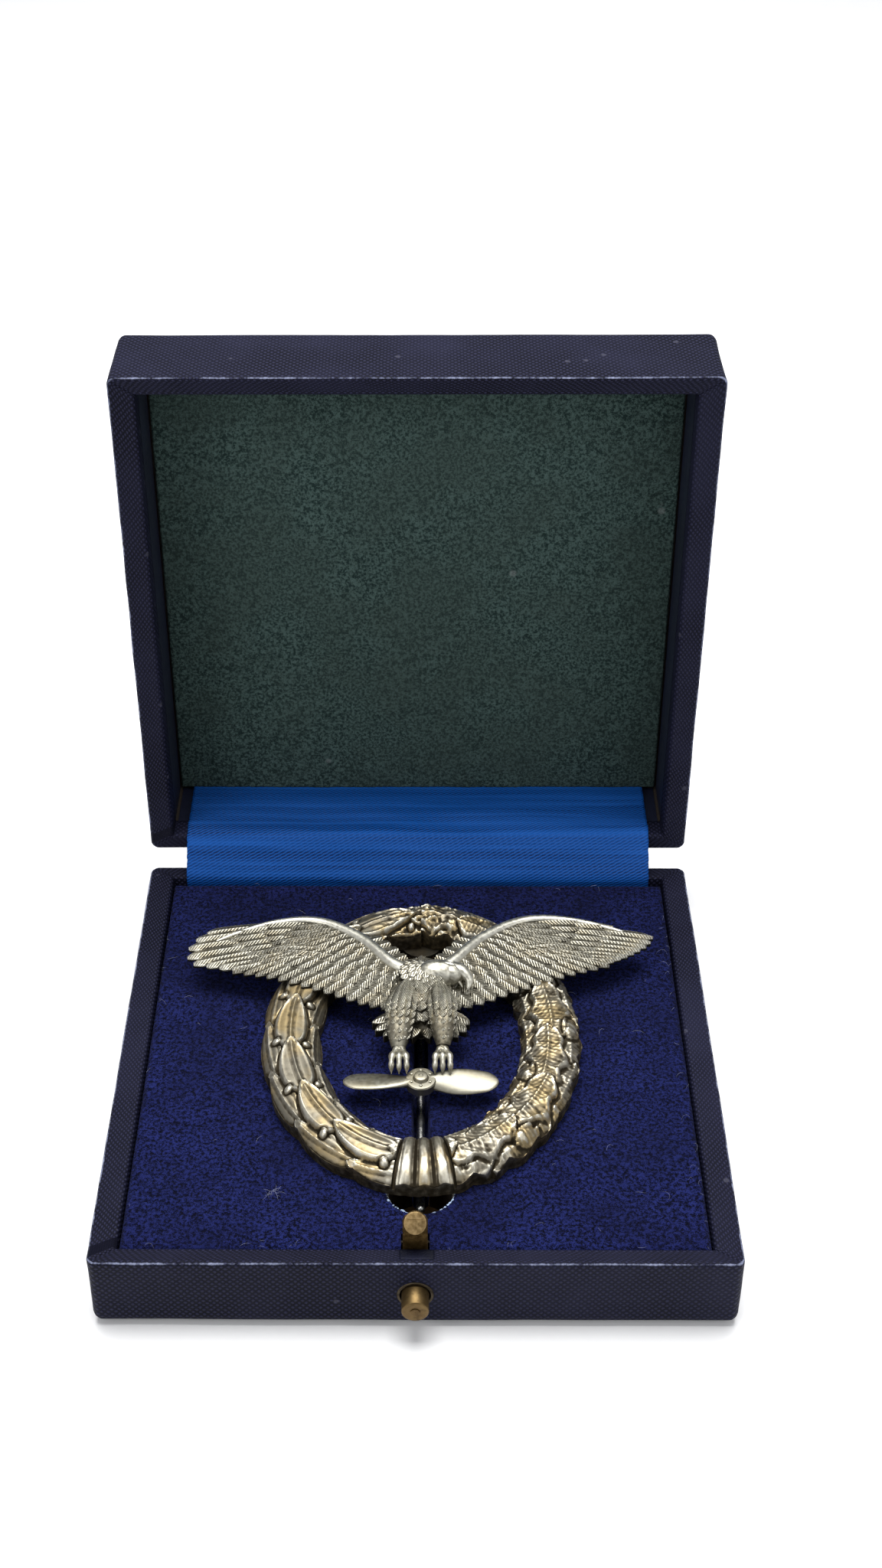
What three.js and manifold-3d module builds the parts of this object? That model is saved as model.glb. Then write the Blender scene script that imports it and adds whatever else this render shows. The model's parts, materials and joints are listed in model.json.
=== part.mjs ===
// Pilot wings badge in its presentation case, with the lid standing open.
// Millimetres, +Z up, +Y towards the hinge. The origin is the centre of the case's underside.

import * as THREE from "three";
import { mergeVertices } from "three/addons/utils/BufferGeometryUtils.js";
import Module from "manifold-3d";

const wasm = await Module();
wasm.setup();

// ---------------------------------------------------------------- sizes: case

const caseWidth = 78;
const caseDepth = 75;
const baseHeight = 11;
const lidHeight = 14;
const sideWall = 3.4; // finished side wall, both leatherette skins included
const endWall = 2.5; // finished front and back walls
const skin = 0.4; // leatherette
const turnIn = 3.5; // leatherette turned over the rim and down the inside
const edgeRadius = 1.6; // rounding of the outer floor edges
const edgeSteps = 5; // straight pieces in that rounding
const baseBoard = 2;
const lidBoard = 1;
const liningCard = 0.4;
const liningPile = 0.4;
const stripThickness = 0.3; // paper strips on the lid's inner walls
const looseFit = 0.3; // gap around pieces that are laid in by hand

// ---------------------------------------------------------------- sizes: cloth hinge

const lidLift = 2.3; // height of the open lid's lower edge above the base rim
const lidSetback = 1.3; // distance of the open lid's rim behind the base's back face
const ribbonHalfWidth = 33.6;
const ribbonThickness = 0.2;
const ribbonTail = 4.5; // ribbon glued down inside the base
const hingeStripHalfWidth = 32.5;
const hingeStripThickness = 0.3;
const hingeStripTail = 6; // strip glued to each back wall

// ---------------------------------------------------------------- sizes: pad and badge seat

const padDepthBelowRim = 0.9;
const velvetThickness = 1.2;
const padCardThickness = 0.5;
const velvetSetback = 0.5; // how far the velvet stops short of the card at the cut-outs
const ribbonRoom = 0.5; // room for the ribbon behind the pad
const slotHalfWidth = 1.1;
const hingePocketHalfWidth = 4.2;
const hingePocketLength = 8;
const catchPocketRadius = 4;
const catchPocketShow = 2.3; // how far it reaches beyond the wreath's foot

// ---------------------------------------------------------------- sizes: latch

const buttonRadius = 1.65;
const buttonHeight = 5.6; // height of the button's axis
const buttonProtrusion = 2.7;
const buttonHeadLength = 4;
const buttonStemRadius = 0.6;
const stemClearance = 0.05;
const bushBore = 1.85; // radii
const bushOuter = 2.15;
const bushFlange = 2.35;
const bushFlangeThickness = 0.15;
const boreClearance = 0.1; // between the bush and the wall it sits in
const catchWidth = 3;
const catchThickness = 0.9;
const catchGap = 0.5; // between the catch and the base's inner front face
const catchHeight = 5.4; // above the base rim
const noseLength = 1.3;
const noseUnderside = 2.2; // above the base rim
const noseFlat = 0.5;
const latchTravel = 1.4;
const latchRoomHalfWidth = 2.6;
const springRoom = 5.2; // length of the spring behind the catch
const springRadius = 1.2;
const springWire = 0.2; // radius
const springTurns = 5;
const guideHeight = 1.6;
const guideWall = 0.6;
const guideClearance = 0.2;
const nailShank = 0.35; // radius
const nailHead = 0.75; // radius
const nailHeadThickness = 0.3;
const nailLength = 1.1;
const strikeHalfWidth = 4;
const strikeLow = 0.9; // from the lid rim
const strikeHigh = 6.6;
const strikeWindowHalfWidth = 1.9;
const strikeWindowLow = 1.7;
const strikeWindowHigh = 5.5;
const strikePocketDepth = 0.8;

// ---------------------------------------------------------------- sizes: badge

const badgeX = 0.6;
const badgeY = 0.4;
const badgeRestGap = 0.1; // between the wreath's back and the velvet
const wreathHalfWidth = 21;
const wreathHalfHeight = 26.6;
const wreathBand = 7.8;
const wreathEdge = 1.5; // upright part of the band's edge
const wreathThickness = 3.8;
const wreathSegments = 64;
const wingSeat = 0.1; // gap between the wreath's crown and the bird
const wingThickness = 1.6;
const wingSpan = 64;
const tailFeathers = 7;
const wingFeathers = 13;
const featherNotch = 0.5;
const bodyRise = 3.3; // top of the breast above the wreath's crown
const propellerLength = 20;
const propellerY = -9.4;
const propellerLow = 2;
const propellerThickness = 1.4;
const propellerHubRadius = 2;
const hubCapRadius = 1.3;
const hubCapThickness = 0.6;
const rivetRadius = 0.7;
const rivetY = 12.5;
const rivetClearance = 0.1;
const solderPlate = 0.5;
const hingePlateRadius = 3;
const catchPlateRadius = 1.9;
const needleRadius = 0.55;
const needleHingeY = 21;
const needleReach = 48; // hinge axis to point
const needlePointLength = 5;
const eyeOuter = 1.15;
const eyeBore = 0.5;
const eyeWidth = 1.3;
const axleRadius = 0.4;
const axleClearance = 0.05;
const eyeClearance = 0.25; // between the eye and the hinge block's web
const webThickness = 0.4;
const earThickness = 0.8;
const earHalfLength = 1.4;
const earGap = 0.15; // each side of the needle's eye
const hookBore = 0.8;
const hookOuter = 1.4;
const hookWidth = 1.6;
const hookMouth = 0.68; // half width, opens downwards
const roundSegments = 24;

// ---------------------------------------------------------------- worked-out places

const halfWidth = caseWidth / 2;
const halfDepth = caseDepth / 2;
const innerHalfWidth = halfWidth - sideWall;
const innerHalfDepth = halfDepth - endWall;
const lidRimY = halfDepth + lidSetback;
const lidBottomZ = baseHeight + lidLift;
const boardTop = skin + baseBoard;
const padTop = baseHeight - padDepthBelowRim;
const velvetBottom = padTop - velvetThickness;
const cardBottom = velvetBottom - padCardThickness;
const padHalfWidth = innerHalfWidth - looseFit;
const padFrontY = -(innerHalfDepth - looseFit);
const padBackY = innerHalfDepth - ribbonRoom;
const badgeZ = padTop + badgeRestGap;
const bandMiddleX = wreathHalfWidth - wreathBand / 2;
const bandMiddleY = wreathHalfHeight - wreathBand / 2;
const catchFrontY = -innerHalfDepth + catchGap;
const catchBackY = catchFrontY + catchThickness;
const latchRoomBackY = catchBackY + springRoom;
const needleCatchY = -bandMiddleY;
const needleDrop = solderPlate + webThickness + eyeClearance + eyeOuter; // axis below the wreath's back

// ---------------------------------------------------------------- materials

const finish = (color, roughness, metalness = 0) =>
  new THREE.MeshStandardMaterial({ color, roughness, metalness });

const leatherette = finish(0x1d2036, 0.55);
const bareWood = finish(0xb08a5c, 0.8);
const card = finish(0xd8d4c8, 0.9);
const navyVelvet = finish(0x1b1c55, 1);
const greenPile = finish(0x2c4245, 1);
const navyPaper = finish(0x10142c, 0.7);
const blueSatin = finish(0x0f3f8f, 0.4);
const brass = finish(0x8a6b35, 0.35, 1);
const springSteel = finish(0x9a9a9a, 0.3, 1);
const agedSilver = finish(0xa8a290, 0.38, 1);
const wreathSilver = finish(0xa3987a, 0.45, 1);

// ---------------------------------------------------------------- geometry helpers

// A closed three.js geometry as a manifold-3d solid.
function solidOf(geometry) {
  const bare = geometry.index ? geometry.toNonIndexed() : geometry.clone();
  bare.deleteAttribute("normal");
  bare.deleteAttribute("uv");
  const merged = mergeVertices(bare, 1e-4);
  const mesh = new wasm.Mesh({
    numProp: 3,
    vertProperties: merged.attributes.position.array,
    triVerts: new Uint32Array(merged.index.array),
  });
  return new wasm.Manifold(mesh);
}

function geometryOf(solid) {
  const { numProp, numVert, vertProperties, triVerts } = solid.getMesh();
  const positions = new Float32Array(numVert * 3);
  for (let i = 0; i < numVert; i++) {
    positions.set(vertProperties.subarray(i * numProp, i * numProp + 3), i * 3);
  }
  return new THREE.BufferGeometry()
    .setAttribute("position", new THREE.BufferAttribute(positions, 3))
    .setIndex(new THREE.BufferAttribute(triVerts, 1));
}

const cut = (geometry, ...tools) =>
  geometryOf(tools.reduce((left, tool) => left.subtract(solidOf(tool)), solidOf(geometry)));

const join = (first, ...others) =>
  geometryOf(others.reduce((sum, other) => sum.add(solidOf(other)), solidOf(first)));

const overlapOf = (a, b) => geometryOf(solidOf(a).intersect(solidOf(b)));

// A box whose faces lie exactly on the given coordinates, so that neighbours can share a face.
function box(x0, x1, y0, y1, z0, z1) {
  const geometry = new THREE.BoxGeometry(2, 2, 2);
  const p = geometry.attributes.position;
  for (let i = 0; i < p.count; i++) {
    p.setXYZ(i, p.getX(i) < 0 ? x0 : x1, p.getY(i) < 0 ? y0 : y1, p.getZ(i) < 0 ? z0 : z1);
  }
  return geometry;
}

const extrude = (shape, depth) =>
  new THREE.ExtrudeGeometry(shape, { depth, bevelEnabled: false, curveSegments: 8 });

// A shape drawn in (y, z), extruded from x0 to x1.
const alongX = (shape, x0, x1) =>
  extrude(shape, x1 - x0)
    .applyMatrix4(
      new THREE.Matrix4().makeBasis(
        new THREE.Vector3(0, 1, 0),
        new THREE.Vector3(0, 0, 1),
        new THREE.Vector3(1, 0, 0),
      ),
    )
    .translate(x0, 0, 0);

// A shape drawn in (x, z), extruded from y0 to y1.
const alongY = (shape, y0, y1) => extrude(shape, y1 - y0).rotateX(Math.PI / 2).translate(0, y1, 0);

// A shape drawn in (x, y), extruded from z0 to z1.
const alongZ = (shape, z0, z1) => extrude(shape, z1 - z0).translate(0, 0, z0);

const polygon = (points) => new THREE.Shape(points.map(([u, v]) => new THREE.Vector2(u, v)));

// Round bars about lines parallel to X, Y and Z.
const barX = (radius, x0, x1, y, z) =>
  new THREE.CylinderGeometry(radius, radius, x1 - x0, roundSegments)
    .rotateZ(Math.PI / 2)
    .translate((x0 + x1) / 2, y, z);

const barY = (radius, y0, y1, x, z) =>
  new THREE.CylinderGeometry(radius, radius, y1 - y0, roundSegments).translate(x, (y0 + y1) / 2, z);

const barZ = (radius, z0, z1, x, y) =>
  new THREE.CylinderGeometry(radius, radius, z1 - z0, roundSegments)
    .rotateX(Math.PI / 2)
    .translate(x, y, (z0 + z1) / 2);

const ball = (rx, ry, rz, x, y, z) =>
  new THREE.SphereGeometry(1, roundSegments, 12).scale(rx, ry, rz).translate(x, y, z);

// A washer or tube about a line parallel to Y.
const tubeY = (inner, outer, y0, y1, x, z) =>
  cut(barY(outer, y0, y1, x, z), barY(inner, y0 - 1, y1 + 1, x, z));

// A strip of even thickness whose middle line is drawn in (y, z), extruded from x0 to x1.
function ribbonAlong(line, thickness, x0, x1) {
  const sides = [[], []];
  line.forEach(([y, z], i) => {
    const [py, pz] = line[Math.max(i - 1, 0)];
    const [ny, nz] = line[Math.min(i + 1, line.length - 1)];
    const length = Math.hypot(ny - py, nz - pz);
    const across = [(-(nz - pz) / length) * (thickness / 2), ((ny - py) / length) * (thickness / 2)];
    sides[0].push([y + across[0], z + across[1]]);
    sides[1].unshift([y - across[0], z - across[1]]);
  });
  return alongX(polygon([...sides[0], ...sides[1]]), x0, x1);
}

function piece(group, name, geometry, material) {
  const mesh = new THREE.Mesh(geometry, material);
  mesh.name = name;
  group.add(mesh);
  return mesh;
}

// ---------------------------------------------------------------- trays: base and lid

// Half of a rounded-floor section: a rectangle from z0 to z1 whose two lower corners are arcs.
function roundedSection(half, z0, z1, radius) {
  const points = [
    [half, z1],
    [-half, z1],
  ];
  for (const side of [-1, 1]) {
    for (let i = 0; i <= edgeSteps; i++) {
      const turn = side < 0 ? i / edgeSteps : 1 - i / edgeSteps;
      const angle = (Math.PI / 2) * turn;
      points.push([
        side * (half - radius + radius * Math.cos(angle)),
        z0 + radius - radius * Math.sin(angle),
      ]);
    }
  }
  return polygon(points);
}

// A block whose four floor edges are rounded.
const tub = (halfX, halfY, z0, z1, radius) =>
  overlapOf(
    alongY(roundedSection(halfX, z0, z1, radius), -halfY, halfY),
    alongX(roundedSection(halfY, z0, z1, radius), -halfX, halfX),
  );

// Leatherette that wraps a tray: outer sides, rim, and a turn-in down the inner walls.
function trayCovering(height) {
  const outer = tub(halfWidth, halfDepth, 0, height, edgeRadius);
  const core = tub(halfWidth - skin, halfDepth - skin, skin, height - turnIn, edgeRadius - skin);
  const floorOpening = box(
    -(halfWidth - edgeRadius),
    halfWidth - edgeRadius,
    -(halfDepth - edgeRadius),
    halfDepth - edgeRadius,
    -1,
    skin + 1,
  );
  const hollow = box(
    -innerHalfWidth,
    innerHalfWidth,
    -innerHalfDepth,
    innerHalfDepth,
    skin,
    height + 1,
  );
  const wallRoom = cut(
    box(
      -(halfWidth - skin),
      halfWidth - skin,
      -(halfDepth - skin),
      halfDepth - skin,
      skin + edgeRadius,
      height - skin,
    ),
    box(
      -(innerHalfWidth + skin),
      innerHalfWidth + skin,
      -(innerHalfDepth + skin),
      innerHalfDepth + skin,
      0,
      height,
    ),
  );
  return cut(outer, core, floorOpening, hollow, wallRoom);
}

// The sheet that closes the covering's floor.
const floorSheet = () =>
  box(
    -(halfWidth - edgeRadius),
    halfWidth - edgeRadius,
    -(halfDepth - edgeRadius),
    halfDepth - edgeRadius,
    0,
    skin,
  );

// The wooden board and the four walls that stand on it. The end walls run the full width.
function trayWood(height, board) {
  const outX = halfWidth - skin;
  const outY = halfDepth - skin;
  const inX = innerHalfWidth + skin;
  const inY = innerHalfDepth + skin;
  const low = skin + board;
  const high = height - skin;
  const core = tub(outX, outY, skin, high, edgeRadius - skin);
  return {
    board: overlapOf(core, box(-outX, outX, -outY, outY, skin, low)),
    front: overlapOf(core, box(-outX, outX, -outY, -inY, low, high)),
    back: overlapOf(core, box(-outX, outX, inY, outY, low, high)),
    left: overlapOf(core, box(-outX, -inX, -inY, inY, low, high)),
    right: overlapOf(core, box(inX, outX, -inY, inY, low, high)),
  };
}

// ---------------------------------------------------------------- base

function buildBase(group) {
  const buttonHole = barY(
    bushOuter + boreClearance,
    -halfDepth - 1,
    -innerHalfDepth + 1,
    0,
    buttonHeight,
  );
  piece(group, "base_covering", cut(trayCovering(baseHeight), buttonHole), leatherette);
  piece(group, "base_bottom_sheet", floorSheet(), leatherette);
  const nailHoles = [-1, 1].map((side) =>
    barZ(nailShank + boreClearance, skin + 0.5, boardTop + 1, side * nailX, nailY),
  );
  const wood = trayWood(baseHeight, baseBoard);
  piece(group, "base_board", cut(wood.board, ...nailHoles), bareWood);
  piece(group, "base_front_wall", cut(wood.front, buttonHole), bareWood);
  piece(group, "base_back_wall", wood.back, bareWood);
  piece(group, "base_left_wall", wood.left, bareWood);
  piece(group, "base_right_wall", wood.right, bareWood);
}

// The cut-out that takes the needle, its hinge and its catch, grown by the given margin.
function needleCutout(margin, z0, z1) {
  const pocketBack = badgeY + needleHingeY + hingePocketLength / 2 + margin;
  const slot = box(
    badgeX - slotHalfWidth - margin,
    badgeX + slotHalfWidth + margin,
    badgeY + needleCatchY,
    badgeY + needleHingeY,
    z0,
    z1,
  );
  const hingePocket = box(
    badgeX - hingePocketHalfWidth - margin,
    badgeX + hingePocketHalfWidth + margin,
    pocketBack - hingePocketLength - 2 * margin,
    pocketBack,
    z0,
    z1,
  );
  const catchPocket = barZ(
    catchPocketRadius + margin,
    z0,
    z1,
    badgeX,
    badgeY - wreathHalfHeight - catchPocketShow + catchPocketRadius,
  );
  return join(slot, hingePocket, catchPocket);
}

function buildPad(group) {
  const layer = (z0, z1) => box(-padHalfWidth, padHalfWidth, padFrontY, padBackY, z0, z1);
  const latchRoom = (backY, halfRoom) => box(-halfRoom, halfRoom, padFrontY - 1, backY, 0, baseHeight);
  const catchRoomBack = catchBackY + latchTravel + looseFit;
  const catchRoomHalf = catchWidth / 2 + looseFit;
  piece(
    group,
    "pad_block",
    cut(
      layer(boardTop, cardBottom),
      needleCutout(0, boardTop - 1, baseHeight),
      latchRoom(latchRoomBackY, latchRoomHalfWidth),
    ),
    bareWood,
  );
  piece(
    group,
    "pad_card",
    cut(
      layer(cardBottom, velvetBottom),
      needleCutout(0, boardTop, baseHeight),
      latchRoom(catchRoomBack, catchRoomHalf),
    ),
    card,
  );
  piece(
    group,
    "velvet_pad",
    cut(
      layer(velvetBottom, padTop),
      needleCutout(velvetSetback, boardTop, baseHeight),
      latchRoom(catchRoomBack, catchRoomHalf),
    ),
    navyVelvet,
  );
}

// ---------------------------------------------------------------- latch

const nailX = latchRoomHalfWidth - nailHead - 0.1;
const nailY = latchRoomBackY - 1.2;

// The brass catch: an upright strip with a rounded head and a sloped nose that faces the front.
function catchTongue() {
  const top = baseHeight + catchHeight;
  const under = baseHeight + noseUnderside;
  const side = polygon([
    [catchBackY, boardTop + guideClearance],
    [catchBackY, top],
    [catchBackY - catchThickness / 2, top],
    [catchFrontY - noseLength, under + noseFlat],
    [catchFrontY - noseLength, under],
    [catchFrontY, under],
    [catchFrontY, boardTop + guideClearance],
  ]);
  const half = catchWidth / 2;
  const face = new THREE.Shape();
  face.moveTo(-half, 0);
  face.lineTo(half, 0);
  face.lineTo(half, top - half);
  face.absarc(0, top - half, half, 0, Math.PI, false);
  face.lineTo(-half, 0);
  return overlapOf(
    alongX(side, -half, half),
    alongY(face, catchFrontY - 2 * noseLength, catchBackY + 1),
  );
}

class Coil extends THREE.Curve {
  constructor(radius, turns, y0, y1, z) {
    super();
    Object.assign(this, { radius, turns, y0, y1, z });
  }

  getPoint(t, target = new THREE.Vector3()) {
    const angle = t * this.turns * 2 * Math.PI;
    return target.set(
      this.radius * Math.cos(angle),
      this.y0 + (this.y1 - this.y0) * t,
      this.z + this.radius * Math.sin(angle),
    );
  }
}

function latchSpring() {
  const path = new Coil(
    springRadius,
    springTurns,
    catchBackY + springWire + 0.1,
    latchRoomBackY - springWire - 0.1,
    buttonHeight,
  );
  const wire = new THREE.Shape();
  wire.absarc(0, 0, springWire, 0, 2 * Math.PI, false);
  return new THREE.ExtrudeGeometry(wire, {
    extrudePath: path,
    steps: springTurns * 12,
    curveSegments: 3,
  });
}

// A U-shaped brass guide for the catch's foot, with a flange that is nailed to the board.
function latchGuide() {
  const innerHalf = catchWidth / 2 + guideClearance;
  const outerHalf = innerHalf + guideWall;
  const ear = (side) =>
    side < 0
      ? box(-outerHalf, -innerHalf, catchFrontY, latchRoomBackY - 0.1, boardTop, boardTop + guideHeight)
      : box(innerHalf, outerHalf, catchFrontY, latchRoomBackY - 0.1, boardTop, boardTop + guideHeight);
  const flangeTop = boardTop + 0.3;
  const flange = box(
    -outerHalf,
    outerHalf,
    catchBackY + latchTravel + 0.2,
    latchRoomBackY - 0.1,
    boardTop,
    flangeTop,
  );
  const holes = [-1, 1].map((side) =>
    barZ(nailShank + boreClearance, boardTop - 1, flangeTop + 1, side * nailX, nailY),
  );
  const headRoom = [-1, 1].map((side) =>
    barZ(nailHead + boreClearance, flangeTop, flangeTop + guideHeight, side * nailX, nailY),
  );
  return cut(join(ear(-1), ear(1), flange), ...holes, ...headRoom);
}

const nailDown = (x, y, top) =>
  join(
    barZ(nailHead, top, top + nailHeadThickness, x, y),
    barZ(nailShank, top - nailLength, top + nailHeadThickness / 2, x, y),
  );

function buildLatchSeat(group) {
  piece(
    group,
    "button_bush",
    join(
      tubeY(bushBore, bushOuter, -halfDepth - bushFlangeThickness / 2, -innerHalfDepth, 0, buttonHeight),
      tubeY(
        bushBore,
        bushFlange,
        -halfDepth - bushFlangeThickness,
        -halfDepth - 0.02,
        0,
        buttonHeight,
      ),
    ),
    brass,
  );
  piece(group, "latch_guide", latchGuide(), brass);
  piece(group, "latch_nail_left", nailDown(-nailX, nailY, boardTop + 0.3), springSteel);
  piece(group, "latch_nail_right", nailDown(nailX, nailY, boardTop + 0.3), springSteel);
  piece(group, "latch_spring", latchSpring(), springSteel);
}

function buildLatch(group) {
  const front = -halfDepth - buttonProtrusion;
  piece(
    group,
    "push_button",
    tubeY(
      buttonStemRadius + stemClearance,
      buttonRadius,
      front,
      front + buttonHeadLength,
      0,
      buttonHeight,
    ),
    brass,
  );
  piece(
    group,
    "button_stem",
    barY(buttonStemRadius, front - 0.1, catchFrontY, 0, buttonHeight),
    brass,
  );
  piece(group, "catch_tongue", catchTongue(), brass);
}

// ---------------------------------------------------------------- lid

// The lid is a tray of its own, drawn with its floor at z = 0 and its rim up.
// The front wall of the closed lid is the one at +Y here, because the lid stands open.
function buildLid(group) {
  const strikeCut = box(
    -strikeHalfWidth - boreClearance,
    strikeHalfWidth + boreClearance,
    innerHalfDepth - 1,
    innerHalfDepth + skin,
    lidHeight - strikeHigh - boreClearance,
    lidHeight - strikeLow + boreClearance,
  );
  const pocket = box(
    -strikeWindowHalfWidth,
    strikeWindowHalfWidth,
    innerHalfDepth,
    innerHalfDepth + skin + strikePocketDepth,
    lidHeight - strikeWindowHigh,
    lidHeight - strikeWindowLow,
  );
  const strikeNailX = (strikeHalfWidth + strikeWindowHalfWidth) / 2;
  const strikeNailZ = lidHeight - (strikeLow + strikeHigh) / 2;
  const nailShanks = [-1, 1].map((side) =>
    barY(
      nailShank + boreClearance,
      innerHalfDepth - 1,
      innerHalfDepth + nailLength + boreClearance,
      side * strikeNailX,
      strikeNailZ,
    ),
  );
  piece(group, "lid_covering", cut(trayCovering(lidHeight), strikeCut), leatherette);
  piece(group, "lid_top_sheet", floorSheet(), leatherette);
  const wood = trayWood(lidHeight, lidBoard);
  piece(group, "lid_board", wood.board, bareWood);
  piece(group, "lid_front_wall", cut(wood.back, pocket, ...nailShanks), bareWood);
  piece(group, "lid_back_wall", wood.front, bareWood);
  piece(group, "lid_left_wall", wood.left, bareWood);
  piece(group, "lid_right_wall", wood.right, bareWood);

  const cardTop = skin + lidBoard + liningCard;
  const liningHalfX = innerHalfWidth - looseFit;
  const liningHalfY = innerHalfDepth - looseFit;
  const lining = (z0, z1) => box(-liningHalfX, liningHalfX, -liningHalfY, liningHalfY, z0, z1);
  piece(group, "lining_card", lining(skin + lidBoard, cardTop), card);
  piece(group, "lid_lining", lining(cardTop, cardTop + liningPile), greenPile);

  const stripLow = cardTop + liningPile;
  const stripHigh = lidHeight - turnIn - 0.1;
  const farX = innerHalfWidth + skin;
  const farY = innerHalfDepth + skin;
  const nearX = farX - stripThickness;
  const nearY = farY - stripThickness;
  piece(group, "lid_left_strip", box(-farX, -nearX, -nearY, nearY, stripLow, stripHigh), navyPaper);
  piece(group, "lid_right_strip", box(nearX, farX, -nearY, nearY, stripLow, stripHigh), navyPaper);
  piece(
    group,
    "lid_front_strip",
    box(-farX, farX, nearY, farY, stripLow, lidHeight - strikeHigh - 2 * boreClearance),
    navyPaper,
  );

  const plate = box(
    -strikeHalfWidth,
    strikeHalfWidth,
    innerHalfDepth,
    innerHalfDepth + skin,
    lidHeight - strikeHigh,
    lidHeight - strikeLow,
  );
  piece(group, "strike_plate", cut(plate, pocket, ...nailShanks), brass);
  for (const [name, side] of [
    ["strike_nail_left", -1],
    ["strike_nail_right", 1],
  ]) {
    const nail = join(
      barY(nailHead, innerHalfDepth - nailHeadThickness, innerHalfDepth, side * strikeNailX, strikeNailZ),
      barY(
        nailShank,
        innerHalfDepth - nailHeadThickness / 2,
        innerHalfDepth + nailLength,
        side * strikeNailX,
        strikeNailZ,
      ),
    );
    piece(group, name, nail, brass);
  }
}

// ---------------------------------------------------------------- cloth hinge

function buildClothHinge(group) {
  const off = ribbonThickness;
  const lidFloor = lidBottomZ + endWall;
  const liningY = lidRimY + lidHeight - skin - lidBoard - liningCard - liningPile;
  const ribbon = [
    [innerHalfDepth - off, baseHeight - ribbonTail],
    [innerHalfDepth - off, baseHeight],
    [innerHalfDepth - off + 0.1, baseHeight + 0.3],
    [lidRimY - 0.3, lidFloor + off - 0.1],
    [lidRimY, lidFloor + off],
    [liningY - looseFit, lidFloor + off],
  ];
  piece(
    group,
    "satin_ribbon",
    ribbonAlong(ribbon, ribbonThickness, -ribbonHalfWidth, ribbonHalfWidth),
    blueSatin,
  );
  const gap = hingeStripThickness / 2 + 0.05;
  const strip = [
    [halfDepth + gap, baseHeight - hingeStripTail],
    [halfDepth + gap, baseHeight + 0.2],
    [halfDepth + 0.5, baseHeight + 1],
    [lidRimY - 0.3, lidBottomZ - 0.6],
    [lidRimY + 0.4, lidBottomZ - gap],
    [lidRimY + hingeStripTail, lidBottomZ - gap],
  ];
  piece(
    group,
    "hinge_strip",
    ribbonAlong(strip, hingeStripThickness, -hingeStripHalfWidth, hingeStripHalfWidth),
    leatherette,
  );
}

// ---------------------------------------------------------------- badge

// An elliptical band with upright edges and a domed crown, its back on z = 0.
function wreathRing() {
  const profile = [
    [-0.5, 0],
    [-0.5, wreathEdge],
    [-0.36, wreathEdge + 0.62 * (wreathThickness - wreathEdge)],
    [-0.15, wreathThickness],
    [0.15, wreathThickness],
    [0.36, wreathEdge + 0.62 * (wreathThickness - wreathEdge)],
    [0.5, wreathEdge],
    [0.5, 0],
  ];
  const positions = [];
  for (let i = 0; i < wreathSegments; i++) {
    const angle = (i / wreathSegments) * 2 * Math.PI;
    for (const [share, z] of profile) {
      positions.push(
        (bandMiddleX + share * wreathBand) * Math.cos(angle),
        (bandMiddleY + share * wreathBand) * Math.sin(angle),
        z,
      );
    }
  }
  const n = profile.length;
  const faces = [];
  for (let i = 0; i < wreathSegments; i++) {
    const here = i * n;
    const next = ((i + 1) % wreathSegments) * n;
    for (let j = 0; j < n; j++) {
      const k = (j + 1) % n;
      faces.push(here + j, next + k, next + j, here + j, here + k, next + k);
    }
  }
  return new THREE.BufferGeometry()
    .setAttribute("position", new THREE.Float32BufferAttribute(positions, 3))
    .setIndex(faces);
}

// Outline of one wing: a smooth leading edge out to the tip, then feather tips back to the body.
function wingOutline(side) {
  const span = wingSpan / 2;
  const leading = new THREE.SplineCurve([
    new THREE.Vector2(0, 9.5),
    new THREE.Vector2(0.12 * span, 11),
    new THREE.Vector2(0.27 * span, 16.6),
    new THREE.Vector2(0.44 * span, 20),
    new THREE.Vector2(0.62 * span, 20.2),
    new THREE.Vector2(0.82 * span, 18.2),
    new THREE.Vector2(span, 14.8),
  ]).getPoints(24);
  const trailing = new THREE.SplineCurve([
    new THREE.Vector2(span, 14),
    new THREE.Vector2(0.86 * span, 11),
    new THREE.Vector2(0.62 * span, 9.2),
    new THREE.Vector2(0.42 * span, 6.4),
    new THREE.Vector2(0.2 * span, 3),
    new THREE.Vector2(0, 2.2),
  ]);
  const back = [];
  for (let i = 0; i < wingFeathers; i++) {
    const tip = trailing.getPoint(i / wingFeathers);
    const valley = trailing.getPoint((i + 0.75) / wingFeathers);
    back.push(tip, valley.add(new THREE.Vector2(0, i < wingFeathers - 2 ? featherNotch : 0)));
  }
  back.push(trailing.getPoint(1));
  return new THREE.Shape([...leading, ...back].map((p) => new THREE.Vector2(side * p.x, p.y)));
}

// The tail: a fan whose end is scalloped, below the body.
function tailOutline() {
  const reach = 11.5;
  const spread = 0.5;
  const points = [
    [-2.4, 3],
    [2.4, 3],
  ];
  for (let i = 0; i <= 2 * tailFeathers; i++) {
    const angle = spread - (i / tailFeathers) * spread;
    const length = reach - (i % 2 === 0 ? 0.5 : 0);
    points.push([length * Math.sin(angle), 7.5 - length * Math.cos(angle)]);
  }
  return polygon(points);
}

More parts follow.
